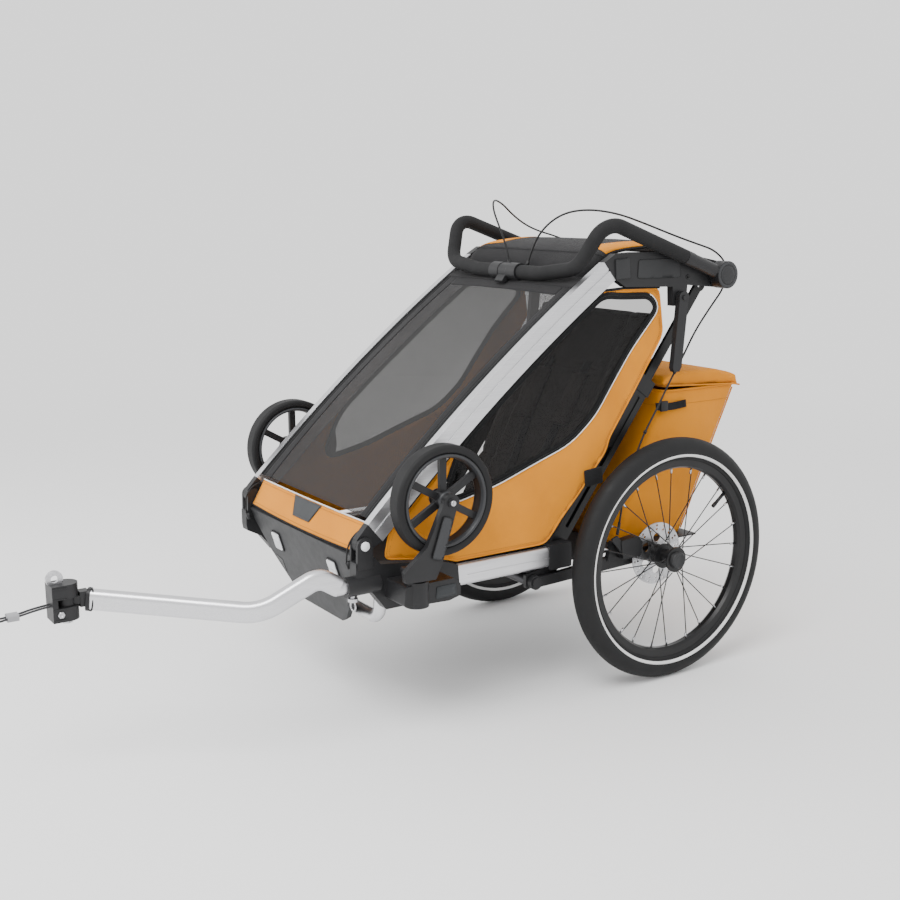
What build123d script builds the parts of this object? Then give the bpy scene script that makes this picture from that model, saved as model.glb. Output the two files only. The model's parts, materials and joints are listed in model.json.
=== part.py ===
from build123d import *
import os
from math import acos, cos, hypot, pi, radians, sin, tan

os.makedirs("parts", exist_ok=True)

# Child bicycle trailer for one child, ready to be towed. Millimetres, +Z up,
# front towards -Y, the trailer's left side towards +X. The outlines below are
# written with y = 0 at the rear axle; SHIFT_Y then moves every piece so that
# the origin is on the ground under the middle of the object.

# ---- driving dimensions ----------------------------------------------------
WHEEL_D = 500.0        # rear wheel over the tyre, 20 inch
TYRE_W = 47.0
WHEEL_OUT = 66.0       # rear tyre's middle outside the side rail's
FRAME_W = 463.0        # between the middles of the two side rails
BASE_L = 680.0         # rear axle to the front fold pivot
PIVOT_RISE = 122.0     # front fold pivot above the rear axle
RAIL_LEN = 690.0
RAIL_ANGLE = 39.8      # degrees above level
RAIL_BOW = 16.0        # how far the rail is arched
RAIL_DEEP = 45.0
RAIL_THICK = 16.0
TUBE_H = 42.0          # lower side tube, flat oval
TUBE_T = 20.0
TUBE_RISE = 31.0       # its middle above the rear axle
FRONT_WHEEL_D = 200.0
FRONT_TYRE_W = 34.0
FRONT_WHEEL_OUT = 66.5 # front wheel's middle outside the side rail's
CASTER_TRAIL = 55.0
CASTER_RISE = 137.5    # front wheel middle above the fork's collar
HITCH_X = 75.0         # middle of the hitch head
HITCH_LEN = 472.0      # front fold pivot to the hitch pivot
HITCH_RISE = 62.0      # arm end above the rear axle
BAR_D = 22.0           # handlebar tube
FOAM_D = 29.0
BAR_CLEAR = 1.0        # between the grip foam and the upper casting
ROTOR_D = 130.0

# ---- fits ------------------------------------------------------------------
RUN = 0.05             # radial clearance of every turning fit
SEAT = 0.05            # radial clearance of a part pushed on and held
GAP = 0.3              # between parts that only lie side by side

# ---- places that follow from them ------------------------------------------
AXLE_Z = WHEEL_D / 2
RAIL_X = FRAME_W / 2
WHEEL_X = RAIL_X + WHEEL_OUT
ROTOR_X = WHEEL_X - 42.5
FRONT_WHEEL_X = RAIL_X + FRONT_WHEEL_OUT
RAIL_IN = RAIL_X - RAIL_THICK / 2
RAIL_OUT = RAIL_X + RAIL_THICK / 2
BAR_X = RAIL_OUT + 1 + BAR_CLEAR + FOAM_D / 2
HITCH_REACH = BASE_L + HITCH_LEN
TUBE_Z = AXLE_Z + TUBE_RISE
TUBE_TOP = TUBE_Z + TUBE_H / 2
TUBE_LOW = TUBE_Z - TUBE_H / 2
FOLD_Y = -BASE_L
FOLD_Z = AXLE_Z + PIVOT_RISE
RAIL_DY = cos(radians(RAIL_ANGLE))
RAIL_DZ = sin(radians(RAIL_ANGLE))
FOOT_Y = FOLD_Y + 25.0
FOOT_Z = FOLD_Z + 19.0
TOP_Y = FOOT_Y + RAIL_LEN * RAIL_DY
TOP_Z = FOOT_Z + RAIL_LEN * RAIL_DZ
HUB_Y = TOP_Y + 290.0  # handlebar pivot
HUB_Z = TOP_Z - 15.0
STRUT_Y = -243.0       # strut foot pivot
STRUT_Z = TUBE_Z
STRUT_TOP_Y = TOP_Y + 265.0
STRUT_TOP_Z = TOP_Z - 37.0
STRUT_X = RAIL_IN - 12.5
STRUT_LEN = hypot(STRUT_TOP_Y - STRUT_Y, STRUT_TOP_Z - STRUT_Z)
STRUT_DY = (STRUT_TOP_Y - STRUT_Y) / STRUT_LEN
STRUT_DZ = (STRUT_TOP_Z - STRUT_Z) / STRUT_LEN
LEVER_Y = TOP_Y + 185.0
LEVER_Z = TOP_Z - 58.0 # release lever pivot
SWING_Y = -300.0       # suspension pivot
SWING_Z = AXLE_Z - 14.0
SWING_X = RAIL_X + 5.5
STEM_Y = FOLD_Y + 73.0
STEM_Z = AXLE_Z + 62.0
CASTER_Y = STEM_Y + CASTER_TRAIL
CASTER_Z = STEM_Z + CASTER_RISE
FLOOR_Z = AXLE_Z + 9.0
SEAT_X = RAIL_X - 36.0
SLEEVE_X = RAIL_X + 3.0
SLEEVE_Z = AXLE_Z + 50.0
HEAD_Z = AXLE_Z + 66.5
EYE_Z = AXLE_Z + 106.0  # eye for the bicycle's rear axle
EYE_R = 14.0
EYE_BORE = 6.15
REAR_END = 294.0
FRONT_END = HITCH_REACH + 96.0
SHIFT_Y = (FRONT_END - REAR_END) / 2


# ---- helpers ---------------------------------------------------------------
def side(points, x0, x1, r=0.0):
    """A flat piece with a (y, z) outline between two x planes."""
    face = make_face(Polyline(*points, close=True))
    if r:
        face = fillet(face.vertices(), r)
    return extrude(Plane.YZ.offset(x0) * face, amount=x1 - x0)


def rod_x(y, z, r, x0, x1):
    return Pos((x0 + x1) / 2, y, z) * Rot(0, 90, 0) * Cylinder(r, x1 - x0)


def rod(a, b, r):
    start = Vector(*a)
    reach = Vector(*b) - start
    return extrude(Plane(start, z_dir=reach) * Circle(r), amount=reach.length)


def both(shape):
    return shape + mirror(shape, about=Plane.YZ)


def other_side(shape):
    return mirror(shape, about=Plane.YZ)


def turned(profile):
    """Turn an (x, radius) profile about the X axis."""
    face = make_face(Polyline(*profile, close=True))
    return revolve(face, Axis.X)


def bend_radii(points, share=0.45):
    """The largest comfortable bend at each inner point of a cord's route."""
    spots = [Vector(*p) for p in points]
    radii = []
    for before, here, after in zip(spots, spots[1:], spots[2:]):
        first = here - before
        second = after - here
        level = first.dot(second) / first.length / second.length
        half = acos(max(-1.0, min(1.0, level))) / 2
        radii.append(share * min(first.length, second.length) / tan(half))
    return radii


def piped(points, radii, section, x_dir=None):
    """Sweep a flat section along straight runs joined by round bends."""
    path = FilletPolyline(*points, radius=radii)
    if x_dir is None:
        start = Plane(path @ 0, z_dir=path % 0)
    else:
        start = Plane(path @ 0, x_dir=x_dir, z_dir=path % 0)
    return sweep(start * section, path=path)


def cord(points, d):
    return piped(points, bend_radii(points), Circle(d / 2))


def rail_at(along, off):
    """A point by its distance up the rail and its distance above its middle."""
    t = along / RAIL_LEN
    arch = RAIL_BOW * 4 * t * (1 - t)
    y = FOOT_Y + RAIL_DY * along - RAIL_DZ * (off + arch)
    z = FOOT_Z + RAIL_DZ * along + RAIL_DY * (off + arch)
    return (y, z)


def rail_band(start, end, low, high, x0, x1):
    """A strip that follows the arch of the rail."""
    middle = (start + end) / 2
    under = ThreePointArc(rail_at(start, low), rail_at(middle, low), rail_at(end, low))
    over = ThreePointArc(rail_at(end, high), rail_at(middle, high), rail_at(start, high))
    edge = under + Line(under @ 1, over @ 0) + over + Line(over @ 1, under @ 0)
    return extrude(Plane.YZ.offset(x0) * make_face(edge), amount=x1 - x0)


def strut_at(along, off):
    return (STRUT_Y + STRUT_DY * along - STRUT_DZ * off,
            STRUT_Z + STRUT_DZ * along + STRUT_DY * off)


def strut_bar(start, end, half, x0, x1):
    corners = [strut_at(start, -half), strut_at(end, -half),
               strut_at(end, half), strut_at(start, half)]
    return side(corners, x0, x1)


# ---- base frame ------------------------------------------------------------
CASTING_REAR = FOLD_Y + 200.0
TUBE_REAR = STRUT_Y + 8.0


def tube_shape(grow=0.0):
    """The flat-oval lower side tube on the left side."""
    section = RectangleRounded(TUBE_T + 2 * grow, TUBE_H + 2 * grow, TUBE_T / 2 - 1)
    start = Plane((RAIL_X, CASTING_REAR - 20, TUBE_Z), x_dir=(1, 0, 0), z_dir=(0, 1, 0))
    return extrude(start * section, amount=TUBE_REAR - CASTING_REAR + 20)


def make_side_tubes():
    return both(tube_shape())


def front_casting():
    """Left front corner with tube pocket, fold pivot ears and fork socket."""
    y = FOLD_Y
    z = AXLE_Z
    x0 = RAIL_X - 10.5
    outline = [(y - 18, z + 62), (y - 18, z + 92), (y + 18, z + 100), (y + 32, z + 84),
               (y + 160, z + 68), (y + 196, TUBE_TOP + 3), (y + 200, TUBE_LOW - 2),
               (y + 160, TUBE_LOW - 12), (y + 42, z - 2), (y + 14, z + 34), (y - 16, z + 50)]
    body = side(outline, x0, RAIL_X + 13, 3)
    for ear0, ear1 in ((x0 - 4, RAIL_IN - GAP), (RAIL_OUT + GAP, RAIL_OUT + 7)):
        ear = side([(y - 16, z + 80), (y + 16, z + 80), (y + 15, FOLD_Z), (y - 15, FOLD_Z)],
                   ear0, ear1)
        body += ear + rod_x(y, FOLD_Z, 15, ear0, ear1)
    body += rod_x(y, FOLD_Z, 6, x0 - 4, RAIL_OUT + 7)
    dock = side([(STEM_Y - 34, z + 20), (STEM_Y - 30, z + 56), (STEM_Y + 70, z + 56),
                 (STEM_Y + 84, z + 44), (STEM_Y + 84, z + 22), (STEM_Y + 60, z + 16)],
                RAIL_X + 10, FRONT_WHEEL_X + 14, 5)
    socket = Pos(FRONT_WHEEL_X, STEM_Y, z + 37.5) * Cylinder(22, 47)
    body += dock + socket
    body -= Pos(FRONT_WHEEL_X, STEM_Y, z + 44) * Cylinder(11 + RUN, 42)
    return body - tube_shape(SEAT)


def make_front_casting_left():
    """The left corner also carries the sleeve the hitch arm pushes into."""
    y = FOLD_Y
    sleeve = rod((SLEEVE_X, y - 36, SLEEVE_Z), (SLEEVE_X, y + 30, SLEEVE_Z), 18)
    bore = rod((SLEEVE_X, y - 37, SLEEVE_Z), (SLEEVE_X, y + 24, SLEEVE_Z), 12 + SEAT)
    body = front_casting() + sleeve - bore
    pin_hole = Pos(SLEEVE_X, y - 20, SLEEVE_Z - 10) * Cylinder(4 + RUN, 40)
    return body - pin_hole


def make_front_casting_right():
    return other_side(front_casting())


def make_rear_fittings():
    """Rear end of the side tube, strut foot pivot and suspension pivot."""
    y = STRUT_Y
    z = AXLE_Z
    sleeve = side([(y - 27, TUBE_LOW - 3.5), (y - 27, TUBE_TOP + 5),
                   (y + 28, TUBE_TOP + 5), (y + 28, TUBE_LOW - 3.5)],
                  RAIL_X - 12.5, RAIL_X + 12.5, 4)
    leg = side([(SWING_Y - 16, z - 26), (SWING_Y + 14, z - 28), (y + 20, TUBE_LOW - 2),
                (y - 20, TUBE_LOW), (SWING_Y - 16, z + 2)],
               RAIL_X - 10.5, RAIL_X - 2.5, 4)
    pin = rod_x(SWING_Y, SWING_Z, 7, RAIL_X - 4, SWING_X + 9.5)
    head = rod_x(SWING_Y, SWING_Z, 11, SWING_X + 6.3, SWING_X + 9.5)
    foot = rod_x(STRUT_Y, STRUT_Z, 6, STRUT_X - 7, RAIL_X - 12)
    return both(sleeve - tube_shape(SEAT) + leg + pin + head + foot)


def make_rear_crossmember():
    return rod_x(SWING_Y, SWING_Z, 12, -(RAIL_X - 10.7), RAIL_X - 10.7)


def make_front_tube():
    """Bright tube that joins the front corners behind the bumper."""
    x = RAIL_X - 10.7
    y = FOLD_Y + 60.0
    z = AXLE_Z
    points = [(x, y, z + 35), (x - 26, y, z + 35), (x - 42, y + 4, z - 42),
              (42 - x, y + 4, z - 42), (26 - x, y, z + 35), (-x, y, z + 35)]
    return piped(points, [18, 30, 30, 18], Circle(12) - Circle(9.5))


def bumper_plane(lift=0.0):
    """The leaning plane of the bumper's face, local y pointing up it."""
    tilt = Vector(0, 50, -165).normalized()
    ahead = Vector(0, tilt.Z, -tilt.Y)
    origin = Vector(0, FOLD_Y - 6, AXLE_Z + 100) + ahead * lift
    return Plane(origin, x_dir=(1, 0, 0), z_dir=ahead)


def make_bumper_shell():
    """Tapered shell below the orange strip, leaning back towards the bottom."""
    half = RAIL_X - 16.0
    face = Polyline((-half, 0), (-half + 4, -26), (-half + 40, -86), (-98, -168), (-80, -176),
                    (80, -176), (98, -168), (half - 40, -86), (half - 4, -26), (half, 0),
                    close=True)
    face = make_face(face)
    shell = extrude(bumper_plane() * face, amount=5)
    rim = face - offset(face, amount=-6)
    return shell + extrude(bumper_plane() * rim, amount=-6)


def make_front_reflectors():
    """Two-cell white reflectors, one each side."""
    plane = bumper_plane(5.0 + GAP / 10)
    cell = Pos(0.52 * (RAIL_X - 4), -52) * RectangleRounded(30, 36, 4)
    split = Pos(0.52 * (RAIL_X - 4), -52) * Rectangle(30, 1.6)
    block = extrude(plane * cell, amount=4)
    groove = extrude(plane.offset(3) * split, amount=2)
    return both(block - groove)


def make_front_strip():
    """Stiffened fabric strip across the foot of the cover."""
    y = FOLD_Y
    z = AXLE_Z
    return side([(y + 25, z + 152), (y - 2, z + 106), (y - 6, z + 107.5), (y + 21, z + 155)],
                16 - RAIL_X, RAIL_X - 16)


# ---- cabin -----------------------------------------------------------------
BACK_DY = 0.4762
BACK_DZ = 0.8793
BACK_Y = STRUT_Y + 21.0


def back_at(along, off):
    """A point by its distance up the seat back's front face, and off it."""
    return (BACK_Y + BACK_DY * along - BACK_DZ * off,
            FLOOR_Z + 4.5 + BACK_DZ * along + BACK_DY * off)


def make_floor_pan():
    y = FOLD_Y + 84.0
    return side([(y, FLOOR_Z), (148, FLOOR_Z), (148, FLOOR_Z + 3), (y, FLOOR_Z + 3)],
                13 - RAIL_X, RAIL_X - 13)


def make_seat_base():
    top = FLOOR_Z + 40
    low = FLOOR_Z + 3 + GAP
    front = BACK_Y - 212
    return side([(front, low), (BACK_Y - 2, low), (BACK_Y + 10, top - 6), (front + 20, top)],
                -SEAT_X, SEAT_X)


def make_seat_back():
    return side([back_at(0, 0), back_at(555, 0), back_at(555, -22), back_at(12.2, -22)],
                -SEAT_X, SEAT_X)


def make_harness():
    """Two shoulder straps, the crotch strap and the buckle."""
    web = side([back_at(95, GAP), back_at(430, GAP), back_at(430, 2.6), back_at(95, 2.6)],
               45, 80)
    pad = side([back_at(260, GAP), back_at(380, GAP), back_at(380, 9), back_at(260, 9)],
               40, 85)
    buckle = side([back_at(70, GAP), back_at(130, GAP), back_at(130, 16), back_at(70, 16)],
                  -46, 46)
    return both(web + pad) + buckle


def window_outline(grow=0.0):
    """The (y, z) outline of the side window; grow moves its edge outwards."""
    foot = [(FOOT_Y + 150, FOOT_Z + 40), (FOOT_Y + 252, FOOT_Z + 61),
            (FOOT_Y + 340, FOOT_Z + 92), (FOOT_Y + 432, FOOT_Z + 122),
            (FOOT_Y + 492, FOOT_Z + 170), (TOP_Y - 3, TOP_Z - 223),
            (TOP_Y + 52, TOP_Z - 150), (TOP_Y + 124, TOP_Z - 76)]
    roof = [(TOP_Y + 106, TOP_Z - 58), (TOP_Y + 32, TOP_Z - 56)]
    eaves = [rail_at(RAIL_LEN * t, -40) for t in (0.94, 0.75, 0.5, 0.33)]
    face = make_face(Polyline(*(foot + roof + eaves), close=True))
    face = fillet(face.vertices(), 8)
    return offset(face, amount=grow) if grow else face


def make_side_panels():
    """Fabric side walls under the rails, with the window opening."""
    low = TUBE_TOP + 6.5
    eaves = [rail_at(RAIL_LEN * t, -24.5) for t in (0.03, 0.25, 0.5, 0.75, 0.96)]
    rear = [(TOP_Y + 38, TOP_Z - 40), (TOP_Y + 136, TOP_Z - 42), (TOP_Y + 150, TOP_Z - 130),
            (TOP_Y + 82, TOP_Z - 228), (TOP_Y + 8, TOP_Z - 330), (TOP_Y, TOP_Z - 356),
            (STRUT_Y - 30, low)]
    foot = [(FOLD_Y + 212, low), (FOLD_Y + 199, AXLE_Z + 58), (FOLD_Y + 160, AXLE_Z + 71),
            (FOLD_Y + 45, AXLE_Z + 87)]
    face = make_face(Polyline(*(eaves + rear + foot), close=True))
    face = face - window_outline()
    return both(extrude(Plane.YZ.offset(RAIL_X - 3) * face, amount=3))


def make_side_windows():
    face = window_outline(-GAP)
    return both(extrude(Plane.YZ.offset(RAIL_X - 2) * face, amount=1))


# ---- cargo bag -------------------------------------------------------------
def bag_outline(inset=0.0):
    low = FLOOR_Z + 3 + GAP + inset
    return [(-60 + inset, low), (135 - inset, low),
            (285 - inset, AXLE_Z + 322), (70 + inset, AXLE_Z + 334)]


def make_cargo_bag():
    """Open-topped fabric bag behind the seat."""
    wall = 3.0
    outer = side(bag_outline(), 3 - SEAT_X, SEAT_X - 3, 3)
    inner = [(-60 + wall, FLOOR_Z + 6 + wall), (135 - wall, FLOOR_Z + 6 + wall),
             (290 - wall, AXLE_Z + 334), (75 + wall, AXLE_Z + 344)]
    hollow = side(inner, 3 - SEAT_X + wall, SEAT_X - 3 - wall)
    flange = side([back_at(330, -22 - GAP), back_at(356, -22 - GAP), (72, AXLE_Z + 333),
                   (66, AXLE_Z + 322)], 8 - SEAT_X, SEAT_X - 8)
    return outer + flange - hollow


def make_bag_lid():
    """Soft lid over the bag, with a lip behind the rear wall."""
    z = AXLE_Z
    top = [(60, z + 335.5), (62, z + 349), (118, z + 357), (232, z + 353), (288, z + 340),
           (REAR_END, z + 318), (287, z + 316), (286, z + 322.6), (72, z + 335)]
    return side(top, -SEAT_X - 1, SEAT_X + 1)


# ---- hitch -----------------------------------------------------------------
ARM_END = (HITCH_X + 5, -HITCH_REACH + 40, AXLE_Z + HITCH_RISE)


def make_hitch_arm():
    """Flat-oval arm that rises out of the sleeve, dips and runs to the hitch."""
    points = [(SLEEVE_X, FOLD_Y - 50, SLEEVE_Z + 5), (SLEEVE_X, FOLD_Y - 86, SLEEVE_Z + 28),
              (SLEEVE_X - 12, FOLD_Y - 192, AXLE_Z + 29), ARM_END]
    arm = piped(points, [36, 90], RectangleRounded(24, 36, 10), (1, 0, 0))
    spigot = rod((SLEEVE_X, FOLD_Y + 20, SLEEVE_Z), (SLEEVE_X, FOLD_Y - 56, SLEEVE_Z), 12)
    arm += spigot
    return arm - Pos(SLEEVE_X, FOLD_Y - 20, SLEEVE_Z - 10) * Cylinder(4 + RUN, 40)


def arm_way():
    start = Vector(SLEEVE_X - 12, FOLD_Y - 192, AXLE_Z + 29)
    return (Vector(*ARM_END) - start).normalized()


def make_hitch_neck():
    """End plug of the arm with the flat tongue of the hitch pivot."""
    way = arm_way()
    end = Vector(*ARM_END)
    face = Plane(end + way * 0.2, x_dir=(1, 0, 0), z_dir=way)
    plug = extrude(face * RectangleRounded(28, 39, 11), amount=6)
    block = Pos(HITCH_X + 2, -HITCH_REACH + 28, HEAD_Z) * Box(20, 16, 26)
    tongue = Pos(HITCH_X, -HITCH_REACH, HEAD_Z) * Cylinder(15, 14)
    tongue += Pos(HITCH_X, -HITCH_REACH + 16, HEAD_Z) * Box(22, 34, 14)
    tongue -= Pos(HITCH_X, -HITCH_REACH, HEAD_Z) * Cylinder(5, 20)
    behind = extrude(face * Rectangle(80, 80), amount=-30)
    return plug + (block + tongue - behind)


def make_hitch_bolt():
    """The hitch's pivot bolt, its hexagon head below the fork."""
    stem = Pos(HITCH_X, -HITCH_REACH, HEAD_Z - 7.5) * Cylinder(5 - 0.01, 56)
    head = Pos(HITCH_X, -HITCH_REACH, HEAD_Z - 38) * extrude(RegularPolygon(9, 6), amount=5)
    return stem + head


def make_hitch_pin():
    """Quick-release pin with its bail, pushed up through sleeve and arm."""
    pin = Pos(SLEEVE_X, FOLD_Y - 20, SLEEVE_Z - 7) * Cylinder(4, 30)
    knob = Pos(SLEEVE_X, FOLD_Y - 20, SLEEVE_Z - 25) * Cylinder(9, 6)
    ring = Pos(SLEEVE_X, FOLD_Y - 20, SLEEVE_Z - 36) * Rot(90, 0, 0) * Torus(9, 1.5)
    return pin + knob + ring


def make_hitch_head():
    """Black fork around the tongue, turning about the pivot bolt."""
    body = Pos(HITCH_X, -HITCH_REACH, HEAD_Z) * Cylinder(20, 62)
    body += Pos(HITCH_X, -HITCH_REACH - 14, HEAD_Z) * Box(40, 26, 62)
    body -= Pos(HITCH_X, -HITCH_REACH + 10, HEAD_Z) * Box(60, 56, 14.6)
    body -= Pos(HITCH_X, -HITCH_REACH, HEAD_Z - 9.5) * Cylinder(5 + RUN, 61)
    plate_seat = Pos(HITCH_X, -HITCH_REACH - 17, HEAD_Z + 28) * Box(6.2, 18.2, 12)
    plate_seat += rod_x(-HITCH_REACH - 17, EYE_Z, EYE_R + 0.1, HITCH_X - 3.1, HITCH_X + 3.1)
    return body - plate_seat


def make_axle_eyelet():
    """Steel plate that the bicycle's rear axle passes through."""
    y = -HITCH_REACH - 17
    low = HEAD_Z + 22.1
    plate = side([(y - 9, low), (y - 9, EYE_Z), (y + 9, EYE_Z), (y + 9, low)],
                 HITCH_X - 3, HITCH_X + 3)
    plate += rod_x(y, EYE_Z, EYE_R, HITCH_X - 3, HITCH_X + 3)
    return plate - rod_x(y, EYE_Z, EYE_BORE, HITCH_X - 4, HITCH_X + 4)


def tether_route():
    """Out from the head, round in a loop ahead of the cord lock and back."""
    y = -HITCH_REACH
    z = AXLE_Z
    x = HITCH_X
    return [(x + 5, y - 27, z + 62), (x + 6, y - 52, z + 60), (x + 5, y - 76, z + 55),
            (x + 4.5, y - 98, z + 53), (x + 10, y - 120, z + 51), (x + 24, y - 142, z + 49),
            (x + 20, y - 168, z + 47), (x - 4, y - 178, z + 46), (x - 23, y - 164, z + 47),
            (x - 22, y - 138, z + 49), (x - 10, y - 118, z + 51), (x - 4.5, y - 98, z + 53.5),
            (x - 5, y - 76, z + 55.5), (x - 6, y - 52, z + 60), (x - 5, y - 27, z + 62.5)]


def make_safety_tether():
    return cord(tether_route(), 3.6)


def make_cord_lock():
    """Spring toggle holding the two strands together."""
    lock = Pos(HITCH_X, -HITCH_REACH - 87, AXLE_Z + 54) * Box(20, 18, 12)
    lock = fillet(lock.edges().filter_by(Axis.Y), 4)
    for x in (4.75, -4.75):
        lock -= rod((HITCH_X + x, -HITCH_REACH - 60, AXLE_Z + 56.6),
                    (HITCH_X + x, -HITCH_REACH - 110, AXLE_Z + 51.6), 2.6)
    return lock


# ---- rear wheels and suspension --------------------------------------------
RIM_R = WHEEL_D / 2 - 44.0


def at_wheel(shape):
    return Pos(WHEEL_X, 0, AXLE_Z) * shape


def make_rear_tyre():
    half = TYRE_W / 2
    section = Pos(0, WHEEL_D / 2 - half) * Circle(half)
    section -= Pos(0, RIM_R - 20 + SEAT) * Rectangle(TYRE_W * 2, 40)
    return at_wheel(revolve(section, Axis.X))


def make_rear_rim():
    """Black rim laced with 24 crossed spokes."""
    wheel = turned([(-13, RIM_R), (13, RIM_R), (11, RIM_R - 14), (5, RIM_R - 18),
                    (-5, RIM_R - 18), (-11, RIM_R - 14)])
    for i in range(24):
        out = 16.5 if i % 2 else -18.5
        lean = 20 if i % 4 < 2 else -20
        near = radians(i * 15 + lean * 1.4)
        far = radians(i * 15)
        a = (out, 27.4 * sin(near), 27.4 * cos(near))
        b = (out / 5, (RIM_R - 12) * sin(far), (RIM_R - 12) * cos(far))
        wheel += rod(a, b, 1.1)
    return at_wheel(wheel)


def make_rear_hub():
    """Hub shell with two spoke flanges, rotor seat and outer cap."""
    bore = 6 + RUN
    seat = ROTOR_X - WHEEL_X
    profile = [(seat - 3, bore), (seat - 3, 16 - SEAT), (seat + 1, 16 - SEAT), (seat + 1, 20),
               (seat + 5, 20), (-25, 15), (-20.5, 15), (-20.5, 26), (-16.5, 26), (-14, 16),
               (12, 16), (14.5, 26), (18.5, 26), (19, 18), (24, 16), (27, 8), (27, 0),
               (16, 0), (16, bore)]
    return at_wheel(turned(profile))


def make_rotor():
    """Drilled brake disc on the inner end of the hub."""
    disc = Rot(0, 90, 0) * (Cylinder(ROTOR_D / 2, 2) - Cylinder(16, 4))
    for ring, count in ((ROTOR_D / 2 - 6, 18), (ROTOR_D / 2 - 14, 18)):
        for i in range(count):
            a = 2 * pi * (i + (0.5 if count * ring % 2 else 0)) / count
            disc -= Pos(0, ring * sin(a), ring * cos(a)) * Rot(0, 90, 0) * Cylinder(2.4, 4)
    for i in range(6):
        a = 2 * pi * i / 6
        disc -= Pos(0, 34 * sin(a), 34 * cos(a)) * Rot(0, 90, 0) * Cylinder(9, 4)
    return Pos(ROTOR_X, 0, AXLE_Z) * disc


def make_swing_arm():
    """Suspension arm from the rear fitting back to the wheel, with the axle."""
    x0 = SWING_X - 6
    x1 = SWING_X + 6
    z = AXLE_Z
    arm = side([(SWING_Y, SWING_Z - 10), (-20, z - 15), (0, z - 17), (0, z + 17), (-20, z + 15),
                (-130, z + 6), (SWING_Y, SWING_Z + 9)], x0, x1)
    arm += rod_x(SWING_Y, SWING_Z, 14, x0, x1) + rod_x(0, z, 18, x0, x1)
    arm -= rod_x(SWING_Y, SWING_Z, 7 + RUN, x0 - 1, x1 + 1)
    ear = side([(-124, z), (-66, z), (-60, z + 34), (-112, z + 40)], x0 + 4, ROTOR_X - 9, 3)
    return arm + ear + rod_x(0, z, 6, x0, WHEEL_X + 15)


def make_caliper():
    """Cable-pulled brake caliper astride the disc, with its lever."""
    z = AXLE_Z
    body = side([(-98, z + 4), (-50, z + 4), (-46, z + 34), (-60, z + 48), (-104, z + 44)],
                ROTOR_X - 9 + GAP / 10, ROTOR_X + 10, 5)
    body -= rod_x(0, z, ROTOR_D / 2 + 2, ROTOR_X - 2, ROTOR_X + 2)
    lever = side([(-128, z + 50), (-96, z + 12), (-84, z + 20), (-112, z + 56)],
                 ROTOR_X + 4, ROTOR_X + 8, 3)
    return body + lever


# ---- front wheels stored upright on the corners -----------------------------
def at_caster(shape):
    return Pos(FRONT_WHEEL_X, CASTER_Y, CASTER_Z) * shape


def make_fork():
    """One-sided fork: stem in the socket, crown under the wheel, outer blade."""
    y = STEM_Y
    z = STEM_Z
    face = FRONT_WHEEL_X + FRONT_TYRE_W / 2 + 3
    stem = Pos(FRONT_WHEEL_X, y, z - 18) * Cylinder(11, 40)
    collar = Pos(FRONT_WHEEL_X, y, z + 5) * Cylinder(17, 8)
    crown = side([(y - 22, z + 7), (y + 22, z + 7), (y + 20, z + 24), (y - 26, z + 24)],
                 FRONT_WHEEL_X - 14, face + 3, 3)
    blade = side([(y - 40, z + 6), (y + 22, z + 4), (y + 34, z + 30), (CASTER_Y + 15, CASTER_Z),
                  (CASTER_Y - 15, CASTER_Z + 2), (y + 4, z + 64), (y - 42, z + 26)],
                 face, face + 11, 4)
    blade += rod_x(CASTER_Y, CASTER_Z, 16, face, face + 11)
    axle = rod_x(CASTER_Y, CASTER_Z, 5, FRONT_WHEEL_X - 17, face + 2)
    cap = rod_x(CASTER_Y, CASTER_Z, 8, face + 10, face + 14)
    return stem + collar + crown + blade + axle + cap


def make_front_rim():
    """One-piece six-spoke wheel."""
    r = FRONT_WHEEL_D / 2 - 16
    wheel = turned([(-12, r), (12, r), (9, r - 8), (-9, r - 8)])
    wheel += Rot(0, 90, 0) * Cylinder(16, 36)
    for i in range(6):
        wheel += Rot(60 * i, 0, 0) * Pos(0, 0, (r + 8) / 2 - 2) * Box(9, 13, r - 14)
    return at_caster(wheel - Rot(0, 90, 0) * Cylinder(5 + RUN, 60))


def make_front_tyre():
    r = FRONT_WHEEL_D / 2
    section = Pos(0, r - 8 + SEAT / 2) * RectangleRounded(FRONT_TYRE_W, 16 - SEAT, 6.5)
    return at_caster(revolve(section, Axis.X))


# ---- folding upper frame -----------------------------------------------------
def make_side_rails():
    """Bright arched rails with a groove along the outer face."""
    rail = rail_band(0, RAIL_LEN, -RAIL_DEEP / 2, RAIL_DEEP / 2, RAIL_IN, RAIL_OUT)
    groove = rail_band(-2, RAIL_LEN + 2, 1, 5, RAIL_OUT - 2, RAIL_OUT + 1)
    return both(rail - groove)


def make_rail_shoes():
    """Black foot of each rail with the eye of the fold pivot."""
    low = rail_at(-0.2, -RAIL_DEEP / 2)
    high = rail_at(-0.2, RAIL_DEEP / 2)
    shoe = side([(FOLD_Y - 12, FOLD_Z - 8), (FOLD_Y + 8, FOLD_Z - 13), low, high,
                 (FOLD_Y - 12, FOLD_Z + 12)], RAIL_IN + GAP, RAIL_OUT - GAP)
    shoe += rod_x(FOLD_Y, FOLD_Z, 15, RAIL_IN + GAP, RAIL_OUT - GAP)
    return both(shoe - rod_x(FOLD_Y, FOLD_Z, 6 + RUN, 0, RAIL_OUT + 5))


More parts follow.
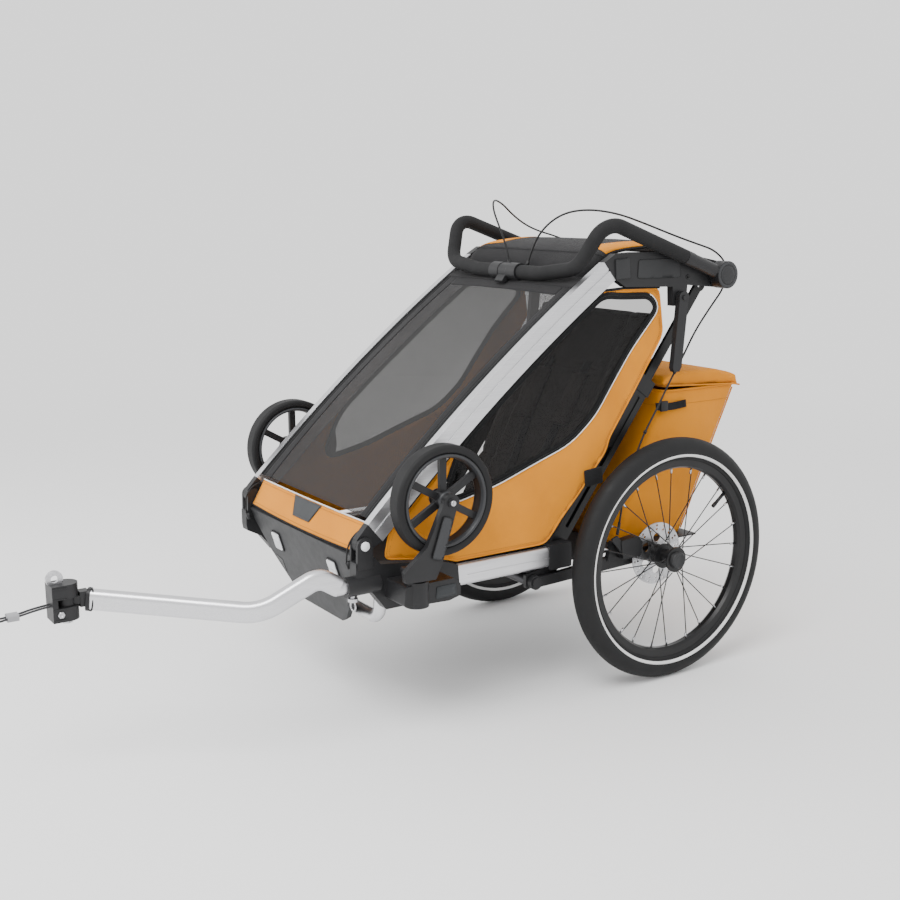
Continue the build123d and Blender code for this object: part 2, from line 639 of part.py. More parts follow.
def make_corner_castings():
    """Upper corners: rail end, handlebar boss and the stub of the lever."""
    y = TOP_Y
    z = TOP_Z
    high = rail_at(RAIL_LEN + 0.2, RAIL_DEEP / 2)
    low = rail_at(RAIL_LEN + 0.2, -RAIL_DEEP / 2)
    outline = [high, (y + 12, z + 33), (y + 60, z + 35), (y + 188, z + 32),
               (HUB_Y, HUB_Z + 27), (HUB_Y, HUB_Z - 27), (y + 205, z - 34),
               (y + 203, z - 75), (y + 167, z - 75), (y + 165, z - 36), (y + 40, z - 32), low]
    body = side(outline, RAIL_IN, RAIL_OUT + 1)
    body += rod_x(HUB_Y, HUB_Z, 27, RAIL_IN, RAIL_OUT + 1)
    body += rod_x(HUB_Y, HUB_Z, 10, RAIL_OUT, BAR_X + 6)
    body += rod_x(LEVER_Y, LEVER_Z, 5, RAIL_OUT, RAIL_OUT + 17)
    return both(body)


def make_release_lever():
    """Hanging fold lever outside the upper corner."""
    y = LEVER_Y
    z = LEVER_Z
    lever = side([(y - 12, z), (y + 12, z), (y - 2, z - 140), (y - 8, z - 150),
                  (y - 22, z - 150), (y - 26, z - 142)], RAIL_OUT + 2.5, RAIL_OUT + 14.5)
    lever += rod_x(y, z, 13, RAIL_OUT + 2.5, RAIL_OUT + 14.5)
    return lever - rod_x(y, z, 5 + RUN, RAIL_OUT, RAIL_OUT + 20)


def make_top_crossmember():
    """Tube that joins the upper corners under the roof."""
    return rod_x(TOP_Y + 65, TOP_Z + 8, 11, GAP - RAIL_IN, RAIL_IN - GAP)


def make_roof():
    """Curved roof cap, its front edge turned down behind the handlebar."""
    y = TOP_Y
    z = TOP_Z
    outer = [(y - 34, z - 22), (y - 22, z + 14), (y + 16, z + 41), (y + 100, z + 51),
             (y + 190, z + 48), (y + 250, z + 24)]
    inner = [(y + 246, z + 21), (y + 188, z + 44), (y + 100, z + 47), (y + 18, z + 37),
             (y - 18, z + 12), (y - 30, z - 22)]
    over = Spline(*outer)
    under = Spline(*inner)
    edge = over + Line(over @ 1, under @ 0) + under + Line(under @ 1, over @ 0)
    width = RAIL_IN - GAP
    return extrude(Plane.YZ.offset(-width) * make_face(edge), amount=2 * width)


def make_front_cover():
    """Mesh cover stretched between the rails."""
    return rail_band(12, RAIL_LEN - 72, 16, 20, GAP - RAIL_IN, RAIL_IN - GAP)


# ---- telescoping rear strut --------------------------------------------------
TRACK_LEN = 0.64
STROKE = 190.0


def make_strut_tracks():
    """Lower half of the rear struts, a slotted track on the foot pivot."""
    end = TRACK_LEN * STRUT_LEN
    bar = strut_bar(0, end, 17, STRUT_X - 6.5, STRUT_X + 6.5)
    bar += rod_x(STRUT_Y, STRUT_Z, 17, STRUT_X - 6.5, STRUT_X + 6.5)
    bar += strut_bar(end - 34, end, 21, STRUT_X - 8, STRUT_X + 8)
    bar -= strut_bar(50, end + 1, 10 + RUN, STRUT_X - 4 - RUN, STRUT_X + 4 + RUN)
    bar -= strut_bar(60, end - 44, 4, STRUT_X + 3, STRUT_X + 10)
    return both(bar - rod_x(STRUT_Y, STRUT_Z, 6 + RUN, STRUT_X - 10, STRUT_X + 10))


def make_strut_rods():
    """Upper half of the rear struts, sliding down into the tracks."""
    bar = strut_bar(56 + STROKE, STRUT_LEN, 10, STRUT_X - 4, STRUT_X + 4)
    bar += rod_x(STRUT_TOP_Y, STRUT_TOP_Z, 14, STRUT_X - 4, STRUT_X + 4)
    return both(bar - rod_x(STRUT_TOP_Y, STRUT_TOP_Z, 6.5, STRUT_X - 8, STRUT_X + 8))


# ---- handlebar ---------------------------------------------------------------
HUB_R = 28.0
CLAMP = 116.0
FRONT_BAR = (TOP_Y - 72.0, TOP_Z - 8.0)


def bar_bends():
    """Corner points of one half of the bar, from the side arm to the middle."""
    y = TOP_Y
    z = TOP_Z
    return [(BAR_X, y - 25, z + 98), (BAR_X - 38, y - 65, z + 6),
            (BAR_X - 146, FRONT_BAR[0], FRONT_BAR[1])]


def bar_point(along):
    """A point on the left side arm, measured from the handlebar pivot."""
    corner = Vector(*bar_bends()[0])
    hub = Vector(BAR_X, HUB_Y, HUB_Z)
    return hub + (corner - hub).normalized() * along


def bar_route(start, stop_x=None):
    """Route of the bar; with stop_x only the left half down to that x."""
    first = bar_point(start)
    left = [(first.X, first.Y, first.Z)] + bar_bends()
    if stop_x is None:
        return left + [(-x, y, z) for x, y, z in reversed(left)]
    return left + [(stop_x, FRONT_BAR[0], FRONT_BAR[1])]


def make_handlebar_tube():
    radii = [42, 44, 110, 110, 44, 42]
    return piped(bar_route(HUB_R + 8), radii, Circle(BAR_D / 2))


def make_handlebar_foam():
    """Foam grips from the side clamps to the brake housing."""
    ring = Circle(FOAM_D / 2) - Circle(BAR_D / 2 + SEAT)
    return both(piped(bar_route(CLAMP + 1, 46), [42, 44, 110], ring))


def make_hub_knobs():
    """Round pivot hubs of the handlebar with the sleeve and clamp of each arm."""
    hub = rod_x(HUB_Y, HUB_Z, HUB_R, RAIL_OUT + 2, BAR_X + 14)
    a = bar_point(10)
    b = bar_point(CLAMP)
    c = bar_point(CLAMP - 20)
    hub += rod(tuple(a), tuple(b), 13.8) + rod(tuple(c), tuple(b), 14.6)
    hub -= rod(tuple(bar_point(HUB_R + 7.8)), tuple(bar_point(CLAMP + 5)), BAR_D / 2 + SEAT)
    hub -= rod_x(HUB_Y, HUB_Z, 10 + RUN, RAIL_OUT - 2, BAR_X + 6.5)
    return both(hub)


def make_brake_housing():
    """Plastic housing in the middle of the bar, open for the brake lever."""
    y, z = FRONT_BAR
    body = rod_x(y, z, 18, -45, 45)
    body += side([(y + 4, z + 6), (y + 24, z + 4), (y + 24, z - 8), (y + 4, z - 12)], -40, 40, 2)
    body -= rod_x(y, z, BAR_D / 2 + SEAT, -50, 50)
    return body - rod_x(y, z, 30, -14, 14)


def make_brake_lever():
    """Brake lever ring turning on the bar between the housing's halves."""
    y, z = FRONT_BAR
    lever = rod_x(y, z, 17, -13.6, 13.6)
    lever += side([(y - 14, z - 4), (y - 10, z - 16), (y - 20, z - 24), (y - 25, z - 18)],
                  -13.6, 13.6, 2)
    return lever - rod_x(y, z, BAR_D / 2 + RUN, -20, 20)


# ---- brake cables --------------------------------------------------------------
def low_cable(x, y, z):
    """Last part of a cable's way, down the strut to the caliper lever."""
    return [(x + 2, TOP_Y + 280, TOP_Z - 84), (x, TOP_Y + 240, TOP_Z - 132),
            (x + 1, TOP_Y + 208, TOP_Z - 182), (x + 3, TOP_Y + 170, TOP_Z - 232),
            (x + 1, TOP_Y + 140, TOP_Z - 284), (x, TOP_Y + 106, TOP_Z - 334),
            (x + 3, TOP_Y + 78, TOP_Z - 386), (x + 8, TOP_Y + 48, TOP_Z - 436),
            (x + 18, TOP_Y + 34, TOP_Z - 490), (ROTOR_X + 6, y, z)]


def left_cable_route():
    y, z = FRONT_BAR
    loop = [(30, y + 26, z + 8), (36, y + 30, z + 36), (52, y + 44, z + 82),
            (82, y + 72, z + 116), (122, y + 106, z + 126), (165, y + 150, z + 118),
            (200, y + 196, z + 97), (224, y + 250, z + 74), (234, y + 306, z + 56),
            (232, y + 360, z + 42), (229, y + 400, z + 12), (227, y + 398, z - 34)]
    return loop + low_cable(RAIL_X - 2, -112, AXLE_Z + 58)


def right_cable_route():
    y, z = FRONT_BAR
    loop = [(-30, y + 26, z + 8), (-36, y + 26, z + 38), (-50, y + 16, z + 84),
            (-68, y + 10, z + 124), (-98, y + 32, z + 146), (-130, y + 78, z + 136),
            (-162, y + 128, z + 112), (-190, y + 182, z + 90), (-214, y + 238, z + 74),
            (-228, y + 296, z + 62), (-232, y + 354, z + 44), (-229, y + 398, z + 14),
            (-227, y + 398, z - 34)]
    low = [(-x, y2, z2) for x, y2, z2 in low_cable(RAIL_X - 2, -112, AXLE_Z + 58)]
    return loop + low


CABLE_D = 4.0


def make_parts():
    swing = make_swing_arm()
    caliper = make_caliper()
    fork = make_fork()
    rim, tyre = make_front_rim(), make_front_tyre()
    big = {"rear_tyre": make_rear_tyre(), "rear_rim": make_rear_rim(),
           "rear_hub": make_rear_hub(), "rotor": make_rotor()}
    lever = make_release_lever()
    parts = {
        "lower_side_tubes": make_side_tubes(),
        "front_casting_left": make_front_casting_left(),
        "front_casting_right": make_front_casting_right(),
        "rear_fittings": make_rear_fittings(),
        "rear_crossmember": make_rear_crossmember(),
        "front_tube": make_front_tube(),
        "bumper_shell": make_bumper_shell(),
        "front_reflectors": make_front_reflectors(),
        "front_strip": make_front_strip(),
        "floor_pan": make_floor_pan(),
        "seat_base": make_seat_base(),
        "seat_back": make_seat_back(),
        "harness": make_harness(),
        "side_panels": make_side_panels(),
        "side_windows": make_side_windows(),
        "cargo_bag": make_cargo_bag(),
        "bag_lid": make_bag_lid(),
        "hitch_arm": make_hitch_arm(),
        "hitch_neck": make_hitch_neck(),
        "hitch_bolt": make_hitch_bolt(),
        "hitch_pin": make_hitch_pin(),
        "hitch_head": make_hitch_head(),
        "axle_eyelet": make_axle_eyelet(),
        "safety_tether": make_safety_tether(),
        "cord_lock": make_cord_lock(),
        "side_rails": make_side_rails(),
        "rail_shoes": make_rail_shoes(),
        "corner_castings": make_corner_castings(),
        "top_crossmember": make_top_crossmember(),
        "roof": make_roof(),
        "front_cover": make_front_cover(),
        "strut_tracks": make_strut_tracks(),
        "strut_rods": make_strut_rods(),
        "handlebar_tube": make_handlebar_tube(),
        "handlebar_foam": make_handlebar_foam(),
        "hub_knobs": make_hub_knobs(),
        "brake_housing": make_brake_housing(),
        "brake_lever": make_brake_lever(),
        "brake_cable_left": cord(left_cable_route(), CABLE_D),
        "brake_cable_right": cord(right_cable_route(), CABLE_D),
    }
    pairs = {"release_lever": lever, "swing_arm": swing, "caliper": caliper, "fork": fork,
             "front_rim": rim, "front_tyre": tyre, **big}
    for name, shape in pairs.items():
        parts[name + "_left"] = shape
        parts[name + "_right"] = other_side(shape)
    return parts


for name, shape in make_parts().items():
    export_step(Pos(0, SHIFT_Y, 0) * shape, f"parts/{name}.step")
    box = shape.bounding_box()
    print(f"{name:20} {len(shape.solids())} solids {shape.volume / 1000:9.1f} cm3"
          f"  y {box.min.Y:7.1f} {box.max.Y:7.1f}  z {box.min.Z:6.1f} {box.max.Z:6.1f}"
          f"  x {box.max.X:6.1f}")
for title, route in (("tether", tether_route()), ("left cable", left_cable_route()),
                     ("right cable", right_cable_route())):
    print(title, "bend radii", [round(r, 1) for r in bend_radii(route)])
print("shift", SHIFT_Y, "strut", STRUT_LEN, "top", TOP_Y, TOP_Z)
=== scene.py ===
import math

import bmesh
import bpy
from mathutils import Euler, Matrix, Vector, noise
from mathutils.geometry import delaunay_2d_cdt
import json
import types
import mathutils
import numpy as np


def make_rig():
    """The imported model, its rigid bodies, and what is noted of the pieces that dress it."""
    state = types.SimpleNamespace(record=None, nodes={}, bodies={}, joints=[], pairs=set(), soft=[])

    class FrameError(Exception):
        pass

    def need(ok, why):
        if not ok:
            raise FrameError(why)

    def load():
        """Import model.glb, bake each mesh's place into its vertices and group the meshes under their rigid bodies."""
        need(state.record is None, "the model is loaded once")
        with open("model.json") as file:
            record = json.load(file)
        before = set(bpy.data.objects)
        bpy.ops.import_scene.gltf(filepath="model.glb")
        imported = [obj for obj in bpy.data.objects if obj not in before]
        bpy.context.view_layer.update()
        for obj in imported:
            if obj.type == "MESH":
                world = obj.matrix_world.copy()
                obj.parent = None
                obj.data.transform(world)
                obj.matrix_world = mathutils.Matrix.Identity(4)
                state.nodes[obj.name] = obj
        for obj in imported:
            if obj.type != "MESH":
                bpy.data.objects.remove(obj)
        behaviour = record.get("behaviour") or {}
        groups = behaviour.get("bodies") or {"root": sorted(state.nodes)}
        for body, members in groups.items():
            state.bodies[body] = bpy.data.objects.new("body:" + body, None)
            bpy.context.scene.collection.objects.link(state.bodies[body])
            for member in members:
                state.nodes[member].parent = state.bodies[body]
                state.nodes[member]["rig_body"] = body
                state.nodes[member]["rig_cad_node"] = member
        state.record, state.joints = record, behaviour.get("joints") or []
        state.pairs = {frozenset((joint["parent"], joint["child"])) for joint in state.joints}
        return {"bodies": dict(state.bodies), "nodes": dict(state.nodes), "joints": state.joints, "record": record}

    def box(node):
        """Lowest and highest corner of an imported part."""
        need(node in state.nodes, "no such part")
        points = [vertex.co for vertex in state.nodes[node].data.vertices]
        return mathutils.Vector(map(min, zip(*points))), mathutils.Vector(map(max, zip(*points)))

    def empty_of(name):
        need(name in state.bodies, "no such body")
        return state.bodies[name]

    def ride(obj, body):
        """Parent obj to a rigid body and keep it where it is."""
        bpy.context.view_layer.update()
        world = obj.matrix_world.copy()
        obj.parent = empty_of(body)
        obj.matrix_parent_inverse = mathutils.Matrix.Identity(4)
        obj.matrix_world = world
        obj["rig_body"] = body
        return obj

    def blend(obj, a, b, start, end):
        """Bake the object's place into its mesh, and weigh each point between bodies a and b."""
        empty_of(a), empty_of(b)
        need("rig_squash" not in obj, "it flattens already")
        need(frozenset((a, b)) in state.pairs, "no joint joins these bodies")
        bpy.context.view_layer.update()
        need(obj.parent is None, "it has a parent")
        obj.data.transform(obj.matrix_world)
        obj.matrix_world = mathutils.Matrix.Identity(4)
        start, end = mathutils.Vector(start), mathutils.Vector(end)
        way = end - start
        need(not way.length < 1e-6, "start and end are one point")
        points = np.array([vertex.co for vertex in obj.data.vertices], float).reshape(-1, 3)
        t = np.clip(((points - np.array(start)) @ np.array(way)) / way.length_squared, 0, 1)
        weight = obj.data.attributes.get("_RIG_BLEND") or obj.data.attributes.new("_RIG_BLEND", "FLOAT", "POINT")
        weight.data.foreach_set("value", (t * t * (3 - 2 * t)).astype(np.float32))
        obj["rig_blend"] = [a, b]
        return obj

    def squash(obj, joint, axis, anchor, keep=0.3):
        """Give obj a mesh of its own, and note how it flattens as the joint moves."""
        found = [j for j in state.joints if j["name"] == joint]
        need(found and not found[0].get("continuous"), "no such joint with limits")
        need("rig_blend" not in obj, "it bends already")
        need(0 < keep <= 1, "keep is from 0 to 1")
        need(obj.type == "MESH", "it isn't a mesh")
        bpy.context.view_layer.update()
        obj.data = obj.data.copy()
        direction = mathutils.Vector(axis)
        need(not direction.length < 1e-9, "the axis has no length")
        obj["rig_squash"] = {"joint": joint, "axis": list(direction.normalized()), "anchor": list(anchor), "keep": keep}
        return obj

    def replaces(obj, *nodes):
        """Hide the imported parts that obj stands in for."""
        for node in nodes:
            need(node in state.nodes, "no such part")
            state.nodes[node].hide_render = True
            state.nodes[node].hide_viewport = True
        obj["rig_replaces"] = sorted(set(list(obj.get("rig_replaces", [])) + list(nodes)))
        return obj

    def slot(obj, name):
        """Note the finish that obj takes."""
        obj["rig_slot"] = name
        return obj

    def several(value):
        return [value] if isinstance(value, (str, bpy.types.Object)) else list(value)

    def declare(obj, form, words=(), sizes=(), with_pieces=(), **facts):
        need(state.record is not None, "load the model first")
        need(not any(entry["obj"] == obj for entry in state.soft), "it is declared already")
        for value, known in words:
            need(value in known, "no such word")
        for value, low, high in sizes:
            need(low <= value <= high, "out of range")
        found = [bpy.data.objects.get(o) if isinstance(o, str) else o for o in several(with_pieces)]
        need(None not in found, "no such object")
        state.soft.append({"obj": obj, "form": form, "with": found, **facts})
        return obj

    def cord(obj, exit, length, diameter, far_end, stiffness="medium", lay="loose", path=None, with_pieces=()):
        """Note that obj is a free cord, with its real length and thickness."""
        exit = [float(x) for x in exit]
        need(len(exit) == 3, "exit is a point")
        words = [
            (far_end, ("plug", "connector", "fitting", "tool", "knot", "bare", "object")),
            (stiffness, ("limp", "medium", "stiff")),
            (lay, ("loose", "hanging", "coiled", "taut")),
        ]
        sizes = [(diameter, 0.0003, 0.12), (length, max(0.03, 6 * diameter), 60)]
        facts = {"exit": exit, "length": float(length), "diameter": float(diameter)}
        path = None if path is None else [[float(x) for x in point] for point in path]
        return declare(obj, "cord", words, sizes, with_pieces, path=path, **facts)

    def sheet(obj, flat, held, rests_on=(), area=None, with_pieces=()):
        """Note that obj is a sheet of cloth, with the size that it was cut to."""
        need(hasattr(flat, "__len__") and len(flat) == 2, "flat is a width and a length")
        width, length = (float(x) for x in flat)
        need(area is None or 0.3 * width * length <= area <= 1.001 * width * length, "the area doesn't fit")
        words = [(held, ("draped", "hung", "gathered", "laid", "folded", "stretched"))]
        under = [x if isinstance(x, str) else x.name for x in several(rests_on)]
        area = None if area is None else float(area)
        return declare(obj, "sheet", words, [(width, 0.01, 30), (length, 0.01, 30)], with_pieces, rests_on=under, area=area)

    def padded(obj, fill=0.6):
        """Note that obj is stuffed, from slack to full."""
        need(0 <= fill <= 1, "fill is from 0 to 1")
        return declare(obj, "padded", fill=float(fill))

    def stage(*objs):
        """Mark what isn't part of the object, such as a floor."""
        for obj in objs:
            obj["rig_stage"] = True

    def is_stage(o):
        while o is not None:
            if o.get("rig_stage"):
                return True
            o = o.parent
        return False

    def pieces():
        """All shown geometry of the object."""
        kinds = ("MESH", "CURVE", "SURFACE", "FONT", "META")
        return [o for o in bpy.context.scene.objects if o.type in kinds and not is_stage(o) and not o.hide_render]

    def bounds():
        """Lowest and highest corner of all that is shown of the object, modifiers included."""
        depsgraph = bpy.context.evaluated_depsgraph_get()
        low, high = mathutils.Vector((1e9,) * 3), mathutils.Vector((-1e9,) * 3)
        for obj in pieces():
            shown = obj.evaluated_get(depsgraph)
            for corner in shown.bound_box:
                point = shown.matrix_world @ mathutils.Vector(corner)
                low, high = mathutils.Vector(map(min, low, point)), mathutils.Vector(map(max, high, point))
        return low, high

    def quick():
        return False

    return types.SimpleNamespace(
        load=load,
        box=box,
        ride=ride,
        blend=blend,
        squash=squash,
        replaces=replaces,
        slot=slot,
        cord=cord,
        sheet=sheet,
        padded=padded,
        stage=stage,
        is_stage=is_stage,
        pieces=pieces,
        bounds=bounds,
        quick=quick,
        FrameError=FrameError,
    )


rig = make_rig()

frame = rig.load()
cad_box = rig.bounds()
nodes = frame["nodes"]

# ---- places, in metres; y is written from the rear axle -----------------------------
hub_low, hub_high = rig.box("rear_hub_left")
AXLE_Y = (hub_low.y + hub_high.y) / 2
AXLE_Z = (hub_low.z + hub_high.z) / 2
WHEEL_X = 0.2975
RAIL_X = 0.2315
RAIL_IN = RAIL_X - 0.008
RAIL_LEN = 0.690
RAIL_LEAN = math.radians(39.8)
RAIL_BOW = 0.016
FOOT = (-0.655, 0.391)
FOLD = (-0.680, 0.372)
TUBE_TOP = AXLE_Z + 0.052
FLOOR_TOP = AXLE_Z + 0.012
FRONT_WHEEL = (0.298, -0.552, AXLE_Z + 0.1995)
SEAT_FOOT = (-0.222, AXLE_Z + 0.0135)
SEAT_UP = (0.4762, 0.8793)
SEAT_TURN = (math.atan2(SEAT_UP[1], SEAT_UP[0]) - math.pi / 2, 0, 0)


def at(x, y, z):
    """A point in the row frame from its place behind the rear axle and above the ground."""
    return Vector((x, AXLE_Y + y, z))


def rail(along, off=0.0):
    """(y, z) by distance up the arched rail and distance above its middle line."""
    t = along / RAIL_LEN
    up = off + RAIL_BOW * 4 * t * (1 - t)
    y = FOOT[0] + math.cos(RAIL_LEAN) * along - math.sin(RAIL_LEAN) * up
    return y, FOOT[1] + math.sin(RAIL_LEAN) * along + math.cos(RAIL_LEAN) * up


TOP = rail(RAIL_LEN)


def seat_line(along, off=0.0):
    """(y, z) by distance up the seat back's face and distance in front of it."""
    return (SEAT_FOOT[0] + SEAT_UP[0] * along - SEAT_UP[1] * off,
            SEAT_FOOT[1] + SEAT_UP[1] * along + SEAT_UP[0] * off)


def linked(name, data):
    """A new object in the scene with this data."""
    obj = bpy.data.objects.new(name, data)
    bpy.context.scene.collection.objects.link(obj)
    return obj


def shade_smooth(data):
    data.polygons.foreach_set("use_smooth", [True] * len(data.polygons))


# ---- camera ---------------------------------------------------------------------------
def add_camera():
    data = bpy.data.cameras.new("camera")
    camera = linked("camera", data)
    data.lens = 49.71
    data.shift_x = -0.043
    data.shift_y = -0.0109
    camera.location = at(2.0977, -1.7025, 0.9704)
    look = Vector((-0.806, 0.560, -0.1905))
    camera.rotation_euler = look.to_track_quat("-Z", "Y").to_euler()
    bpy.context.scene.camera = camera


add_camera()


# ---- material kit -----------------------------------------------------------------------
class Shader:
    """A principled material with short calls for the nodes that feed it."""

    def __init__(self, name, colour, rough, metallic=0.0):
        self.mat = bpy.data.materials.new(name)
        self.mat.use_nodes = True
        self.tree = self.mat.node_tree
        self.out = self.tree.nodes["Material Output"]
        self.bsdf = self.tree.nodes["Principled BSDF"]
        self.set(colour, rough, metallic)
        self.coords = self.add("ShaderNodeTexCoord").outputs["Object"]

    def set(self, colour, rough, metallic):
        self.bsdf.inputs["Base Color"].default_value = (*colour, 1)
        self.bsdf.inputs["Roughness"].default_value = rough
        self.bsdf.inputs["Metallic"].default_value = metallic

    def add(self, kind, **values):
        node = self.tree.nodes.new(kind)
        for key, value in values.items():
            setattr(node, key, value)
        return node

    def link(self, a, b):
        self.tree.links.new(a, b)

    def maths(self, kind, a, b=None):
        node = self.add("ShaderNodeMath", operation=kind)
        for socket, value in zip(node.inputs, (a, b)):
            if value is None:
                continue
            if isinstance(value, (int, float)):
                socket.default_value = value
            else:
                self.link(value, socket)
        return node.outputs[0]

    def scaled(self, stretch):
        node = self.add("ShaderNodeMapping")
        node.inputs["Scale"].default_value = stretch
        self.link(self.coords, node.inputs["Vector"])
        return node.outputs[0]

    def noise(self, scale, detail=3.0, stretch=(1, 1, 1)):
        node = self.add("ShaderNodeTexNoise")
        node.inputs["Scale"].default_value = scale
        node.inputs["Detail"].default_value = detail
        self.link(self.scaled(stretch), node.inputs["Vector"])
        return node.outputs["Fac"]

    def vary(self, colour_a, colour_b, fac, low=0.3, high=0.7):
        ramp = self.add("ShaderNodeValToRGB")
        ramp.color_ramp.elements[0].position = low
        ramp.color_ramp.elements[1].position = high
        ramp.color_ramp.elements[0].color = (*colour_a, 1)
        ramp.color_ramp.elements[1].color = (*colour_b, 1)
        self.link(fac, ramp.inputs["Fac"])
        self.link(ramp.outputs["Color"], self.bsdf.inputs["Base Color"])

    def rough_range(self, low, high, fac):
        node = self.add("ShaderNodeMapRange")
        node.inputs["To Min"].default_value = low
        node.inputs["To Max"].default_value = high
        self.link(fac, node.inputs["Value"])
        self.link(node.outputs["Result"], self.bsdf.inputs["Roughness"])

    def bump(self, height, depth, strength=1.0, soft_edge=0.0):
        node = self.add("ShaderNodeBump")
        node.inputs["Strength"].default_value = strength
        node.inputs["Distance"].default_value = depth
        self.link(height, node.inputs["Height"])
        if soft_edge:
            edge = self.add("ShaderNodeBevel", samples=3)
            edge.inputs["Radius"].default_value = soft_edge
            self.link(edge.outputs["Normal"], node.inputs["Normal"])
        self.link(node.outputs["Normal"], self.bsdf.inputs["Normal"])

    def let_through(self, tint, share):
        """Mix in clear transparency; share is a number or a node output."""
        window = self.add("ShaderNodeBsdfTransparent")
        window.inputs["Color"].default_value = (*tint, 1)
        mix = self.add("ShaderNodeMixShader")
        if isinstance(share, float):
            mix.inputs["Fac"].default_value = share
        else:
            self.link(share, mix.inputs["Fac"])
        self.link(self.bsdf.outputs[0], mix.inputs[1])
        self.link(window.outputs[0], mix.inputs[2])
        self.link(mix.outputs[0], self.out.inputs["Surface"])

    def weave(self, pitch):
        """Height of a plain weave: crossing threads along every axis."""
        total = None
        split = self.add("ShaderNodeSeparateXYZ")
        self.link(self.coords, split.inputs[0])
        for socket in split.outputs:
            wave = self.maths("SINE", self.maths("MULTIPLY", socket, 2 * math.pi / pitch))
            if total is None:
                total = wave
            else:
                kind = "MULTIPLY" if socket.name == "Y" else "ADD"
                total = self.maths(kind, total, wave)
        return total


def fabric(name, colour, dark, pitch=0.0016, sheen=0.06, rough=0.85, creases=9.0):
    s = Shader(name, colour, rough)
    s.vary(dark, colour, s.noise(creases, 6.0), 0.25, 0.62)
    weave = s.weave(pitch)
    folds = s.maths("MULTIPLY", s.noise(26.0, 4.0), 2.2)
    s.bump(s.maths("ADD", weave, folds), 0.00035, 0.55)
    s.bsdf.inputs["Sheen Weight"].default_value = sheen
    s.bsdf.inputs["Specular IOR Level"].default_value = 0.12
    s.bsdf.inputs["Sheen Roughness"].default_value = 0.5
    return s.mat


def plastic(name, colour, dark, rough, grain=900.0, depth=0.00012, edge=0.0008):
    s = Shader(name, colour, rough)
    s.vary(dark, colour, s.noise(14.0, 4.0))
    fine = s.noise(grain, 2.0)
    s.bsdf.inputs["Specular IOR Level"].default_value = 0.30
    s.rough_range(rough - 0.07, rough + 0.09, s.noise(60.0, 3.0))
    s.bump(fine, depth, 0.5, edge)
    return s.mat


def metal(name, colour, dark, rough, stretch, scale=700.0, edge=0.0006):
    """Drawn or brushed metal with streaks along the long direction."""
    s = Shader(name, colour, rough, 1.0)
    streak = s.noise(scale, 2.0, stretch)
    s.vary(dark, colour, streak, 0.2, 0.75)
    s.rough_range(rough - 0.06, rough + 0.1, s.noise(35.0, 4.0, stretch))
    s.bump(streak, 0.00004, 0.35, edge)
    return s.mat


def see_through(name, colour, clear, pitch, direction, fill):
    """Open mesh cloth: threads along x and along direction, holes between them."""
    s = Shader(name, colour, 0.8)
    across = s.add("ShaderNodeSeparateXYZ")
    s.link(s.coords, across.inputs[0])
    dot = s.add("ShaderNodeVectorMath", operation="DOT_PRODUCT")
    s.link(s.coords, dot.inputs[0])
    dot.inputs[1].default_value = direction
    waves = []
    for socket, step in ((across.outputs["X"], pitch), (dot.outputs["Value"], pitch * 0.8)):
        wave = s.maths("SINE", s.maths("MULTIPLY", socket, math.pi / step))
        waves.append(s.maths("ABSOLUTE", wave))
    hole = s.maths("GREATER_THAN", s.maths("MINIMUM", *waves), fill)
    s.bump(s.maths("MAXIMUM", *waves), 0.0004, 0.4)
    s.let_through(clear, hole)
    return s.mat


def film(name, tint, body, share):
    """Tinted flexible window: light passes through darkened, the face gleams a little."""
    s = Shader(name, body, 0.22)
    s.bump(s.noise(7.0, 3.0), 0.004, 0.35)
    s.let_through(tint, share)
    return s.mat


def tyre_rubber(name, centre, blocks):
    """Black rubber whose shoulder carries short slanted grooves round the wheel."""
    s = Shader(name, (0.0105, 0.0105, 0.011), 0.62)
    place = s.add("ShaderNodeVectorMath", operation="SUBTRACT")
    s.link(s.coords, place.inputs[0])
    place.inputs[1].default_value = centre
    split = s.add("ShaderNodeSeparateXYZ")
    s.link(place.outputs[0], split.inputs[0])
    x, y, z = split.outputs
    turn = s.maths("ARCTAN2", z, y)
    side = s.maths("ABSOLUTE", x)
    phase = s.maths("ADD", s.maths("MULTIPLY", turn, blocks), s.maths("MULTIPLY", side, 260.0))
    groove = s.maths("GREATER_THAN", s.maths("SINE", phase), 0.93)
    band = s.maths("MULTIPLY", s.maths("GREATER_THAN", side, 0.006),
                   s.maths("LESS_THAN", side, 0.0175))
    reach = s.maths("SQRT", s.maths("ADD", s.maths("MULTIPLY", y, y), s.maths("MULTIPLY", z, z)))
    crown = s.maths("GREATER_THAN", reach, 0.228)
    cut = s.maths("MULTIPLY", s.maths("MULTIPLY", groove, band), crown)
    grain = s.maths("MULTIPLY", s.noise(500.0, 2.0), 0.12)
    s.bsdf.inputs["Specular IOR Level"].default_value = 0.22
    s.bump(s.maths("SUBTRACT", grain, cut), 0.0012, 1.0)
    s.rough_range(0.5, 0.72, s.noise(30.0, 3.0))
    return s.mat


